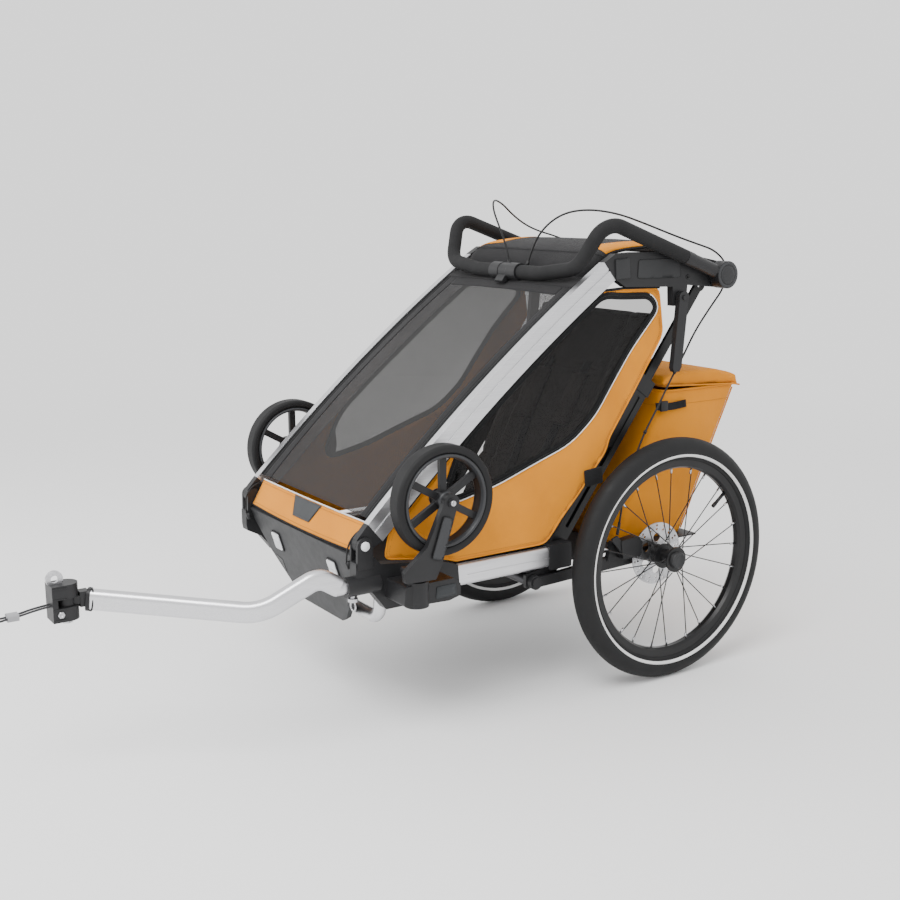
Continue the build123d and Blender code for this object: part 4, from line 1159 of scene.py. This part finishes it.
def roof_point(x, t, lift=0.0):
    """t from the front hem to the rear one."""
    spot = t * (len(ROOF) - 1)
    i = min(len(ROOF) - 2, max(0, int(spot)))
    p = ROOF[i].lerp(ROOF[i + 1], spot - i)
    way = (ROOF[min(len(ROOF) - 1, i + 1)] - ROOF[i]).normalized()
    up = Vector((-way.y, way.x))
    edge = max(0.0, (abs(x) - 0.192) / (RAIL_IN - 0.192))
    crown = 0.005 * (1 - (x / RAIL_IN) ** 2) - 0.008 * edge ** 2
    sag = -0.0022 * math.sin(math.pi * t) * math.sin(math.pi * (x / RAIL_IN + 1) / 2)
    ripple = 0.0010 * noise.noise(Vector((x * 9, t * 5, 8.1)))
    p = p + up * (crown + sag + ripple + lift - 0.001)
    return at(x, p.x, p.y)


def roof_patch(name, x0, x1, t0, t1, lift, mat, rows, columns):
    return grid(name, rows, columns,
                lambda u, v: roof_point(x0 + (x1 - x0) * u, t0 + (t1 - t0) * v, lift), mat)


def make_roof():
    half = RAIL_IN - 0.001
    made = []
    cloth = thicken(roof_patch("roof_fabric", -half, half, 0, 1, 0, CHARCOAL, 44, 60), 0.0020)
    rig.replaces(cloth, "roof")
    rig.sheet(cloth, flat=(2 * half, length_of([Vector((p.x, p.y, 0)) for p in ROOF])),
             held="stretched", rests_on=["top_crossmember", "corner_castings"])
    made.append((cloth, "charcoal_fabric"))
    for i, sign in enumerate((-1, 1)):
        def corner(u, v, sign=sign):
            inner = 0.150 + 0.030 * v
            return roof_point(sign * (inner + (half - 0.004 - inner) * u), 0.42 + 0.26 * v - 0.06 * u,
                              0.0016)
        made.append((thicken(grid(f"roof_patch_{i}", 14, 10, corner, ORANGE), 0.0012),
                     "orange_fabric"))

    def crosswise(t, lift):
        return spread(lambda u: roof_point(half * (2 * u - 1), t, lift), 60)

    for i, t in enumerate((0.305, 0.33)):
        made.append((stitches(f"roof_stitching_{i}", crosswise(t, 0.0014), DARK_THREAD),
                     "charcoal_fabric"))
    made.append((tube("roof_seam_roll", crosswise(0.3175, 0.0008), 0.0016, CHARCOAL, sides=6),
                 "charcoal_fabric"))
    for i, t in enumerate((0.0, 1.0)):
        made.append((tube(f"roof_hem_{i}", crosswise(t, 0.0), 0.0028, BINDING, sides=8),
                     "charcoal_fabric"))
    for i, x in enumerate((-half, half)):
        line = spread(lambda t: roof_point(x, t, 0.0), 60)
        made.append((tube(f"roof_side_binding_{i}", line, 0.0022, BINDING, sides=8),
                     "charcoal_fabric"))
    for piece, slot_name in made:
        on_body(piece, "upper_frame", slot_name)


make_roof()


# ---- padded pieces -----------------------------------------------------------------------------
def copy_of(node, name, mat, shrink=1.0):
    source = nodes[node]
    data = source.data.copy()
    obj = linked(name, data)
    data.materials.clear()
    data.materials.append(mat)
    low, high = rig.box(node)
    middle = (low + high) / 2
    data.transform(Matrix.Translation(middle) @ Matrix.Scale(shrink, 4) @ Matrix.Translation(-middle))
    return obj


def remesh(obj, voxel):
    mod = obj.modifiers.new("voxels", "REMESH")
    mod.mode = "VOXEL"
    mod.voxel_size = voxel
    mod.use_smooth_shade = True
    return settle(obj)


def stuff(obj, pressure, cap, frames=20):
    """Blow the piece up like a stuffed cover, moving no point further than cap."""
    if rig.quick():
        return obj
    before = [v.co.copy() for v in obj.data.vertices]
    mod = obj.modifiers.new("cloth", "CLOTH")
    mod.settings.use_pressure = True
    mod.settings.uniform_pressure_force = pressure
    mod.settings.effector_weights.gravity = 0.0
    mod.settings.quality = 6
    mod.settings.mass = 0.3
    mod.point_cache.frame_start = 1
    mod.point_cache.frame_end = frames
    for number in range(1, frames + 1):
        bpy.context.scene.frame_set(number)
    settle(obj)
    for v, start in zip(obj.data.vertices, before):
        way = v.co - start
        if way.length > cap:
            v.co = start + way.normalized() * cap
    bpy.context.scene.frame_set(1)
    return obj


def soften(obj, levels=1):
    mod = obj.modifiers.new("smooth", "SUBSURF")
    mod.levels = levels
    mod.render_levels = levels
    settle(obj)
    shade_smooth(obj.data)
    return obj


def press(obj, depth, reach, lines):
    """Sewn channels: points near any of the lines are drawn in along the line's normal."""
    for v in obj.data.vertices:
        for test, way in lines:
            gap = abs(test(v.co))
            if gap < reach:
                v.co += way * depth * (1 + math.cos(math.pi * gap / reach)) / 2


def make_seat():
    face = Vector((0, -SEAT_UP[1], SEAT_UP[0]))
    back = remesh(copy_of("seat_back", "seat_back_pad", SEAT, 0.985), 0.007)
    stuff(back, 3.0, 0.008)
    wing = 0.125

    def up_the_back(co):
        return (co - at(0, *SEAT_FOOT)).dot(Vector((0, *SEAT_UP)))

    lines = [(lambda co, a=a: up_the_back(co) - a, -face) for a in (0.17, 0.30, 0.40)]
    lines += [(lambda co, x=x: co.x - x, -face) for x in (-wing, wing)]

    def in_front(co):
        return (co - at(0, SEAT_FOOT[0], AXLE_Z)).dot(face) > -0.006

    press(back, 0.005, 0.009,
          [(lambda co, t=test: t(co) if in_front(co) else 1.0, way) for test, way in lines])
    soften(back)
    base = remesh(copy_of("seat_base", "seat_base_pad", SEAT, 0.985), 0.007)
    stuff(base, 3.0, 0.008)
    press(base, 0.004, 0.009, [(lambda co, y=y: co.y - at(0, y, 0).y if co.z > AXLE_Z + 0.03 else 1.0,
                                Vector((0, 0, -1))) for y in (-0.36, -0.29)])
    soften(base)
    give_fold(back, "charcoal_fabric")
    on_body(base, "base", "charcoal_fabric")
    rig.replaces(back, "seat_back")
    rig.replaces(base, "seat_base")
    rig.padded(back, fill=0.7)
    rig.padded(base, fill=0.7)


def back_point(x, along, off):
    y, z = seat_line(along, off)
    return at(x, y, z)


def make_harness():
    made = []
    for sign, tag in ((1, "left"), (-1, "right")):
        line = spread(lambda t: back_point(sign * (0.0625 - 0.022 * ease(1 - t)), 0.10 + 0.33 * t,
                                           0.0065 + 0.003 * math.sin(math.pi * t)), 40)
        made.append(strap("shoulder_strap_" + tag, line, (1, 0, 0), 0.025, WEBBING, 0.0018))
        pad = pad_block("shoulder_pad_" + tag, back_point(sign * 0.0625, 0.325, 0.0125),
                        (0.046, 0.014, 0.120), SEAT, 0.006,
                        SEAT_TURN, 4)
        soften(pad)
        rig.padded(pad, fill=0.8)
        made.append(pad)
        line = spread(lambda t: back_point(sign * (0.040 + 0.150 * t), 0.085 - 0.05 * ease(t), 0.010),
                      20)
        made.append(strap("hip_strap_" + tag, line, (0, *SEAT_UP), 0.025, WEBBING, 0.0018))
    buckle = pad_block("harness_buckle", back_point(0, 0.098, 0.014), (0.062, 0.017, 0.048), BLACK,
                       0.006, SEAT_TURN, 4)
    button = pad_block("buckle_button", back_point(0, 0.098, 0.0225), (0.026, 0.005, 0.026), GREY_BLACK,
                       0.002, SEAT_TURN, 4)
    line = spread(lambda t: back_point(0, 0.085 - 0.055 * t, 0.011 + 0.006 * ease(t)), 12)
    made.append(strap("crotch_strap", line, (1, 0, 0), 0.030, WEBBING, 0.0018))
    made += [buckle, button]
    for piece in made:
        give_fold(piece, "charcoal_fabric")
    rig.replaces(buckle, "harness")


make_seat()
make_harness()


# ---- cargo bag -------------------------------------------------------------------------------
BAG_LOW = FLOOR_TOP + 0.0008
BAG_RIM = AXLE_Z + 0.3255
BAG_HALF = 0.1925


def bag_point(turn, up, inset=0.0):
    """turn goes round the bag from its right front corner, up from the bottom to the rim."""
    front = -0.060 + 0.130 * up
    rear = 0.135 + 0.150 * up
    z = BAG_LOW + (BAG_RIM - BAG_LOW) * up
    corner = 0.028
    half = BAG_HALF - inset
    y0, y1 = front + inset, rear - inset
    straight = [((-half, y0 + corner), (-half, y1 - corner)),
                ((-half + corner, y1), (half - corner, y1)),
                ((half, y1 - corner), (half, y0 + corner)),
                ((half - corner, y0), (-half + corner, y0))]
    leg, spot = divmod(turn * 4, 1.0)
    a, b = (Vector(p) for p in straight[int(leg) % 4])
    c = Vector(straight[(int(leg) + 1) % 4][0])
    run = 0.82
    if spot < run:
        p = a.lerp(b, spot / run)
    else:
        t = (spot - run) / (1 - run)
        edge = Vector((b.x if int(leg) % 2 == 0 else c.x, c.y if int(leg) % 2 == 0 else b.y))
        p = b * (1 - t) ** 2 + edge * 2 * t * (1 - t) + c * t * t
    swell = math.sin(math.pi * min(1.0, up * 1.02)) ** 0.8 * 0.007
    flatness = math.sin(math.pi * min(1.0, spot / run)) if spot < run else 0.0
    fold = 0.0022 * noise.noise(Vector((turn * 14, up * 3.2, 6.5))) * math.sin(math.pi * min(1, up))
    out = Vector(((-1, 0), (0, 1), (1, 0), (0, -1))[int(leg) % 4])
    p = p + out * (swell * flatness + fold)
    return at(p.x, p.y, z)


def make_bag():
    rings, spots = 34, 120
    verts = [bag_point(k / spots, i / rings) for i in range(rings + 1) for k in range(spots)]
    faces = ring_faces(rings + 1, spots)
    middle = sum((verts[k] for k in range(spots)), Vector()) / spots
    for ring in range(1, 6):
        share = ring / 6
        verts += [verts[k].lerp(middle, share) for k in range(spots)]
    first = (rings + 1) * spots
    previous = 0
    for ring in range(5):
        start = first + ring * spots
        for k in range(spots):
            n = (k + 1) % spots
            faces.append((previous + n, previous + k, start + k, start + n))
        previous = start
    verts.append(middle)
    faces += [(previous + (k + 1) % spots, previous + k, len(verts) - 1) for k in range(spots)]
    bag = thicken(build("cargo_bag_shell", verts, faces, ORANGE), 0.0022, 1.0)
    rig.replaces(bag, "cargo_bag")
    made = [(bag, "orange_fabric")]
    rim = [bag_point(k / 100, 0.995) for k in range(100)]
    made.append((tube("cargo_bag_rim", rim, 0.0026, ORANGE, closed=True, sides=8), "orange_fabric"))
    for i, up in enumerate((0.05, 0.90)):
        line = spread(lambda t: bag_point(t, up, -0.0004), 160)
        made.append((stitches(f"cargo_bag_stitching_{i}", line, ORANGE_THREAD), "orange_fabric"))
    for i, turn in enumerate((0.2275, 0.4775)):
        line = spread(lambda t: bag_point(turn, 0.02 + 0.95 * t, -0.0012), 40)
        made.append((tube(f"cargo_bag_corner_piping_{i}", line, 0.0016, ORANGE, sides=6),
                     "orange_fabric"))
    for sign, tag in ((1, "left"), (-1, "right")):
        line = spread(lambda t: at(sign * (0.2000 - 0.003 * math.sin(math.pi * t)), 0.040 + 0.085 * t,
                                   AXLE_Z + 0.296 - 0.004 * math.sin(math.pi * t)), 20)
        made.append((strap("bag_strap_" + tag, line, (0, -0.15, 1), 0.016, WEBBING, 0.002),
                     "charcoal_fabric"))
        made.append((pad_block("bag_strap_buckle_" + tag, at(sign * 0.2005, 0.062, AXLE_Z + 0.295),
                               (0.006, 0.020, 0.022), BLACK, 0.002), "black_plastic"))
    for piece, slot_name in made:
        give_fold(piece, slot_name, BAG_KEEP)


def make_bag_lid():
    lid = remesh(copy_of("bag_lid", "bag_lid_pad", ORANGE, 0.985), 0.006)
    stuff(lid, 2.5, 0.006)
    soften(lid)
    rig.replaces(lid, "bag_lid")
    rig.padded(lid, fill=0.4)
    made = [(lid, "orange_fabric")]
    half = 0.1950
    one_side = [(half, 0.074, 0.5862), (half, 0.180, 0.5800), (half, 0.255, 0.5760),
                (half - 0.005, 0.277, 0.5735), (half - 0.030, 0.2885, 0.5715)]
    other_side = [(-x, y, z) for x, y, z in one_side]
    edge = curve_through([at(*p) for p in other_side + one_side[::-1]], 12)
    made.append((tube("bag_lid_piping", edge, 0.0018, ORANGE, sides=6), "orange_fabric"))
    for piece, slot_name in made:
        give_fold(piece, slot_name, BAG_KEEP, "bag_lid")


make_bag()
make_bag_lid()


# ---- wheels ---------------------------------------------------------------------------------
RIM_R = 0.206
SPOKES = 24


def make_rear_trim(side_name, sign):
    centre = at(sign * WHEEL_X, 0, AXLE_Z)
    made = []
    for i, face in enumerate((-1, 1)):
        profile = facing(face, (0.0190, 0.2126), (0.0203, 0.2130), (0.0218, 0.2157),
                         (0.0227, 0.2180), (0.0216, 0.2187))
        made.append((lathe_x(f"sidewall_ring_{side_name}_{i}", centre, profile, PIPING, 120),
                     "tyre_rubber"))
        bead = facing(face, (0.0120, 0.2048), (0.0150, 0.2056), (0.0172, 0.2085), (0.0168, 0.2100))
        made.append((lathe_x(f"tyre_bead_{side_name}_{i}", centre, bead,
                             nodes["rear_tyre_" + side_name].data.materials[0], 96),
                     "tyre_rubber"))
    nipples = []
    for i in range(SPOKES):
        turn = 2 * math.pi * i / SPOKES
        way = Vector((0, math.sin(turn), math.cos(turn)))
        out = (0.0033 if i % 2 else -0.0037) * sign
        foot = centre + way * (RIM_R - 0.0185) + Vector((out, 0, 0))
        nipples.append(tube("nipple", [foot, foot - way * 0.011], 0.0022, STEEL, sides=8))
    made.append((joined("spoke_nipples_" + side_name, nipples), "bright_steel"))
    turn = math.radians(52)
    way = Vector((0, math.sin(turn), math.cos(turn)))
    foot = centre + way * (RIM_R - 0.018)
    made.append((tube("valve_stem_" + side_name, [foot, foot - way * 0.030], 0.0036, BLACK, sides=12),
                 "black_plastic"))
    tip = foot - way * 0.030
    made.append((tube("valve_cap_" + side_name, [tip, tip - way * 0.010], 0.0042, BLACK, sides=12),
                 "black_plastic"))
    cap = facing(sign, (0.0192, 0.0176), (0.0260, 0.0172), (0.0284, 0.0150), (0.0284, 0.0128),
                 (0.0272, 0.0120), (0.0272, 0.0001))
    made.append((lathe_x("hub_cap_" + side_name, centre, cap, GREY_BLACK, 48), "black_metal"))
    for piece, slot_name in made:
        on_body(piece, "rear_wheel_" + side_name, slot_name)


def make_front_trim(side_name, sign):
    centre = at(sign * FRONT_WHEEL[0], FRONT_WHEEL[1], FRONT_WHEEL[2])
    made = []
    for i, face in enumerate((-1, 1)):
        lip = facing(face, (0.0115, 0.0838), (0.0150, 0.0842), (0.0172, 0.0826), (0.0172, 0.0800),
                     (0.0150, 0.0782), (0.0098, 0.0762))
        made.append((lathe_x(f"front_rim_lip_{side_name}_{i}", centre, lip, RIM_GREY, 96),
                     "black_plastic"))
        hub = facing(face, (0.0140, 0.0175), (0.0186, 0.0165), (0.0186, 0.0105), (0.0170, 0.0090))
        made.append((lathe_x(f"front_hub_ring_{side_name}_{i}", centre, hub, RIM_GREY, 40),
                     "black_plastic"))
    for piece, slot_name in made:
        on_body(piece, "front_wheel_" + side_name, slot_name)


for side_name, sign in (("left", 1), ("right", -1)):
    make_rear_trim(side_name, sign)
    make_front_trim(side_name, sign)


# ---- small parts ----------------------------------------------------------------------------
def plate_on_fork(side_name, sign):
    """Recessed panel down the outer face of the fork blade, and the axle screw."""
    x = sign * (FRONT_WHEEL[0] + 0.034)
    foot = Vector((-0.585, 0.352))
    head = Vector((-0.560, 0.425))
    way = (head - foot).normalized()
    across = Vector((way.y, -way.x))
    outline = [foot - across * 0.011, foot + across * 0.012,
               head + across * 0.0105, head - across * 0.0105]
    shape = rounded(outline, 0.006, 5)
    panel = cut_sheet("fork_panel_" + side_name, shape, [], 0.006,
                      lambda y, z: at(x + sign * 0.0002, y, z), RIM_GREY)
    thicken(panel, 0.0006)
    line = [at(x + sign * 0.0003, p.x, p.y) for p in shape]
    groove = tube("fork_panel_groove_" + side_name, line, 0.0007, BLACK_METAL, closed=True, sides=6)
    centre = at(sign * FRONT_WHEEL[0], FRONT_WHEEL[1], FRONT_WHEEL[2])
    screw = facing(sign, (0.0335, 0.0052), (0.0375, 0.0052), (0.0383, 0.0044), (0.0383, 0.0026),
                   (0.0363, 0.0022), (0.0363, 0.0001))
    bolt = lathe_x("fork_axle_screw_" + side_name, centre, screw, STEEL, 24)
    on_body(panel, "fork_" + side_name, "black_plastic")
    on_body(groove, "fork_" + side_name, "black_plastic")
    on_body(bolt, "fork_" + side_name, "bright_steel")


def make_corner_trim(side_name, sign):
    y, z = TOP
    x = sign * (RAIL_X + 0.0095)
    outline = rounded(v2([(y + 0.070, z - 0.016), (y + 0.072, z + 0.020), (y + 0.180, z + 0.020),
                          (y + 0.186, z - 0.018)]), 0.006, 4)
    line = [at(x, p.x, p.y) for p in outline]
    on_body(tube("corner_panel_groove_" + side_name, line, 0.0009, BLACK_METAL, closed=True, sides=6),
            "upper_frame", "black_plastic")
    insert = cut_sheet("corner_insert_" + side_name, outline, [], 0.01,
                       lambda a, b: at(x + sign * 0.0003, a, b), GREY_BLACK)
    on_body(insert, "upper_frame", "black_plastic")
    button = pad_block("corner_button_" + side_name, at(sign * (RAIL_X + 0.0105), y + 0.030, z + 0.004),
                       (0.006, 0.036, 0.040), GREY_BLACK, 0.0029, (0.08, 0, 0), 4)
    on_body(button, "upper_frame", "black_plastic")
    for i, (dy, dz) in enumerate(((0.205, 0.010), (0.205, -0.018))):
        centre = at(sign * (RAIL_X + 0.009), y + dy, z + dz)
        screw = facing(sign, (0, 0.0050), (0.0008, 0.0050), (0.0014, 0.0042), (0.0014, 0.0022),
                       (0, 0.0019), (0, 0.0001))
        on_body(lathe_x(f"corner_screw_{side_name}_{i}", centre, screw, BLACK_METAL, 24),
                "upper_frame", "black_metal")
    hub = at(sign * 0.2700, y + 0.290, z - 0.015)
    ring = facing(sign, (0, 0.0262), (0.0006, 0.0256), (0.0006, 0.0215), (0, 0.0210))
    on_body(lathe_x("hub_face_ring_" + side_name, hub, ring, RIM_GREY, 60), "handlebar",
            "black_plastic")
    disc = facing(sign, (0, 0.0190), (0.0010, 0.0184), (0.0014, 0.0120), (0.0014, 0.0001))
    on_body(lathe_x("hub_face_disc_" + side_name, hub, disc, GREY_BLACK, 60), "handlebar",
            "black_plastic")


def make_cable_clip(side_name, drop):
    """Clip on the upper corner where the cable dives behind it."""
    spot = drop[0]
    half = Vector((0, 0.004, -0.008))
    clip = tube("cable_clip_" + side_name, [spot - half, spot + half], 0.0048, BLACK, sides=12)
    on_body(clip, "upper_frame", "black_plastic")
    for i, share in enumerate((0.42, 0.66)):
        k = int(len(drop) * share)
        way = (drop[k + 1] - drop[k - 1]).normalized()
        ring = tube(f"cable_tie_{side_name}_{i}", [drop[k] - way * 0.003, drop[k] + way * 0.003],
                    0.0034, BLACK, sides=10)
        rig.blend(ring, "base", "upper_frame", start=drop[-1], end=drop[0])
        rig.slot(ring, "black_plastic")


def make_ferrule(side_name, loop):
    """Metal end sleeve of the cable at the brake lever's housing."""
    way = (loop[3] - loop[0]).normalized()
    end = tube("cable_ferrule_" + side_name, [loop[0] - way * 0.001, loop[0] + way * 0.014], 0.0032,
               BLACK_METAL, sides=12)
    on_body(end, "handlebar", "black_metal")


def make_base_trim(side_name, sign):
    x = sign * (FRONT_WHEEL[0] + 0.0145)
    patch = cut_sheet("casting_reflector_" + side_name,
                      rounded(v2([(-0.576, AXLE_Z + 0.024), (-0.574, AXLE_Z + 0.046),
                                  (-0.533, AXLE_Z + 0.046), (-0.531, AXLE_Z + 0.024)]), 0.003, 3),
                      [], 0.008, lambda a, b: at(x, a, b), BADGE)
    on_body(thicken(patch, 0.0010), "base", "charcoal_plastic")
    centre = at(sign * (RAIL_X + 0.0150), -0.680, AXLE_Z + 0.122)
    knob = facing(sign, (0, 0.0085), (0.0020, 0.0085), (0.0034, 0.0068), (0.0038, 0.0001))
    on_body(lathe_x("fold_pivot_cap_" + side_name, centre, knob, REFLECTOR, 40), "base",
            "reflector_white")
    line = spread(lambda t: at(sign * (RAIL_X + 0.0105), -0.46 + 0.20 * t, AXLE_Z + 0.031), 20)
    on_body(tube("side_tube_line_" + side_name, line, 0.0007, ALUMINIUM, sides=6), "base",
            "bright_aluminium")
    tab = pad_block("side_tab_" + side_name, at(sign * (RAIL_X + 0.010), -0.160, AXLE_Z + 0.180),
                    (0.006, 0.044, 0.034), WEBBING, 0.0025, (0.1, 0, 0), 3)
    give_fold(tab, "charcoal_fabric")


def make_hitch_trim():
    """Screw ends, arm bolt and the cast lines of the hitch."""
    x = 0.075
    y = -1.152
    z = AXLE_Z + 0.0665
    pieces = []
    side_face = [(0, 0.0062), (0.0012, 0.0062), (0.0022, 0.0052), (0.0022, 0.0030), (0.0008, 0.0026),
                 (0.0008, 0.0001)]
    spot = at(x + 0.0200, y - 0.014, z - 0.018)
    pieces.append((lathe_x("head_side_screw", spot, side_face, STEEL, 6), "hitch_head",
                   "bright_steel"))
    for i, dz in enumerate((-0.0085, 0.0085, 0.027, -0.027)):
        block = pad_block(f"head_rib_{i}", at(x + 0.0202, y - 0.014, z + dz),
                          (0.0022, 0.022, 0.0022), BLACK, 0.0006)
        pieces.append((block, "hitch_head", "black_plastic"))
    bolt = [(0, 0.0066), (0.0012, 0.0064), (0.0022, 0.0052), (0.0022, 0.0030), (0.0006, 0.0028),
            (0.0006, 0.0001)]
    spot = at(x + 0.0215, y + 0.095, AXLE_Z + 0.0583)
    pieces.append((lathe_x("arm_bolt", spot, bolt, BLACK_METAL, 24), "base", "black_metal"))
    end = at(x + 0.005, y + 0.040, AXLE_Z + 0.062)
    way = (end - at(0.2225, -0.872, AXLE_Z + 0.029)).normalized()
    across = Vector((1, 0, 0))
    up = way.cross(across).normalized()
    collar = []
    for k in range(40):
        turn = 2 * math.pi * k / 40
        wide = 0.0128 * math.copysign(abs(math.cos(turn)) ** 0.6, math.cos(turn))
        high = 0.0188 * math.copysign(abs(math.sin(turn)) ** 0.75, math.sin(turn))
        collar.append(end + way * 0.001 + across * wide + up * high)
    pieces.append((tube("arm_end_gasket", collar, 0.0016, BLACK, closed=True, sides=6), "base",
                   "black_plastic"))
    for piece, body, slot_name in pieces:
        on_body(piece, body, slot_name)


def make_bumper_trim():
    """Flat dark triangles low on the bumper as painted shade where its recesses are, and the lens lines of the
    reflectors.
    """
    tilt = Vector((0, 50, -165)).normalized()
    ahead = Vector((0, tilt.z, -tilt.y))
    origin = at(0, FOLD[0] - 0.006, AXLE_Z + 0.100)
    for sign, tag in ((1, "left"), (-1, "right")):
        corners = [(sign * 0.130, 0.098), (sign * 0.156, 0.092), (sign * 0.128, 0.128)]
        # painted shade: a flat triangle of the darkest black set just off the bumper face, standing in for the shade
        # inside a recess
        verts = [origin + Vector((px, 0, 0)) + tilt * s + ahead * 0.0053 for px, s in corners]
        painted_shade_patch = thicken(build("bumper_painted_shade_" + tag, verts, [(0, 1, 2)], BLACK_METAL, False), 0.0006)
        on_body(painted_shade_patch, "base", "charcoal_plastic")
        centre_x = sign * 0.52 * (RAIL_X - 0.004)
        bars = []
        for i in range(1, 6):
            px = centre_x - 0.015 + 0.030 * i / 6
            line = [origin + Vector((px, 0, 0)) + tilt * s + ahead * 0.0090 for s in (0.036, 0.068)]
            bars.append(tube("bar", line, 0.0007, REFLECTOR, sides=6))
        on_body(joined("reflector_ribs_" + tag, bars), "base", "reflector_white")
        corners = [origin + Vector((centre_x + a * 0.0165, 0, 0)) + tilt * (0.052 + b * 0.0195)
                   + ahead * 0.0062 for a, b in ((-1, -1), (1, -1), (1, 1), (-1, 1))]
        edge = []
        for a, b in zip(corners, corners[1:] + corners[:1]):
            edge += [a.lerp(b, t) for t in (0.06, 0.5, 0.94)]
        on_body(tube("reflector_frame_" + tag, edge, 0.0016, BLACK, closed=True, sides=6), "base",
                "charcoal_plastic")


for side_name, sign in (("left", 1), ("right", -1)):
    plate_on_fork(side_name, sign)
    make_corner_trim(side_name, sign)
    make_base_trim(side_name, sign)
make_cable_clip("left", left_drop)
make_cable_clip("right", right_drop)
make_ferrule("left", left_loop)
make_ferrule("right", right_loop)
make_hitch_trim()
make_bumper_trim()


# ---- studio ----------------------------------------------------------------------------------
def make_floor():
    shade = Shader("studio_floor", (0.86, 0.86, 0.86), 0.8)
    low, high = cad_box
    middle = (low + high) / 2
    away = shade.add("ShaderNodeVectorMath", operation="DISTANCE")
    shade.link(shade.coords, away.inputs[0])
    away.inputs[1].default_value = (middle.x, middle.y, 0)
    fade = shade.add("ShaderNodeMapRange", interpolation_type="SMOOTHSTEP")
    fade.inputs["From Min"].default_value = 1.4
    fade.inputs["From Max"].default_value = 4.5
    shade.link(away.outputs["Value"], fade.inputs["Value"])
    glow = shade.add("ShaderNodeEmission")
    glow.inputs["Color"].default_value = (1, 1, 1, 1)
    glow.inputs["Strength"].default_value = 1.5
    mix = shade.add("ShaderNodeMixShader")
    shade.link(fade.outputs["Result"], mix.inputs["Fac"])
    shade.link(shade.bsdf.outputs[0], mix.inputs[1])
    shade.link(glow.outputs[0], mix.inputs[2])
    shade.link(mix.outputs[0], shade.out.inputs["Surface"])
    reach = 60.0
    corners = [(-reach, -reach, 0), (reach, -reach, 0), (reach, reach, 0), (-reach, reach, 0)]
    floor = build("floor", corners, [(0, 1, 2, 3)], shade.mat, False)
    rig.stage(floor)


def area_light(name, spot, target, size, power):
    data = bpy.data.lights.new(name, "AREA")
    data.shape = "SQUARE"
    data.size = size
    data.energy = power
    light = linked(name, data)
    light.location = spot
    light.rotation_euler = (Vector(target) - Vector(spot)).to_track_quat("-Z", "Y").to_euler()
    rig.stage(light)


def make_world():
    world = bpy.data.worlds.new("studio")
    world.use_nodes = True
    back = world.node_tree.nodes["Background"]
    back.inputs["Color"].default_value = (1, 1, 1, 1)
    back.inputs["Strength"].default_value = 1.5
    bpy.context.scene.world = world


make_floor()
make_world()
area_light("key", (1.2, -1.4, 2.9), (0, 0.1, 0.4), 1.6, 85)
area_light("front_fill", (-1.6, -2.4, 1.8), (0, 0, 0.4), 1.8, 40)

visual_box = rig.bounds()


def numbers(corners):
    return [[float(n) for n in corner] for corner in corners]


with open("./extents.json", "w") as out:
    out.write(str({"cad": numbers(cad_box), "visual": numbers(visual_box)}).replace("'", '"'))
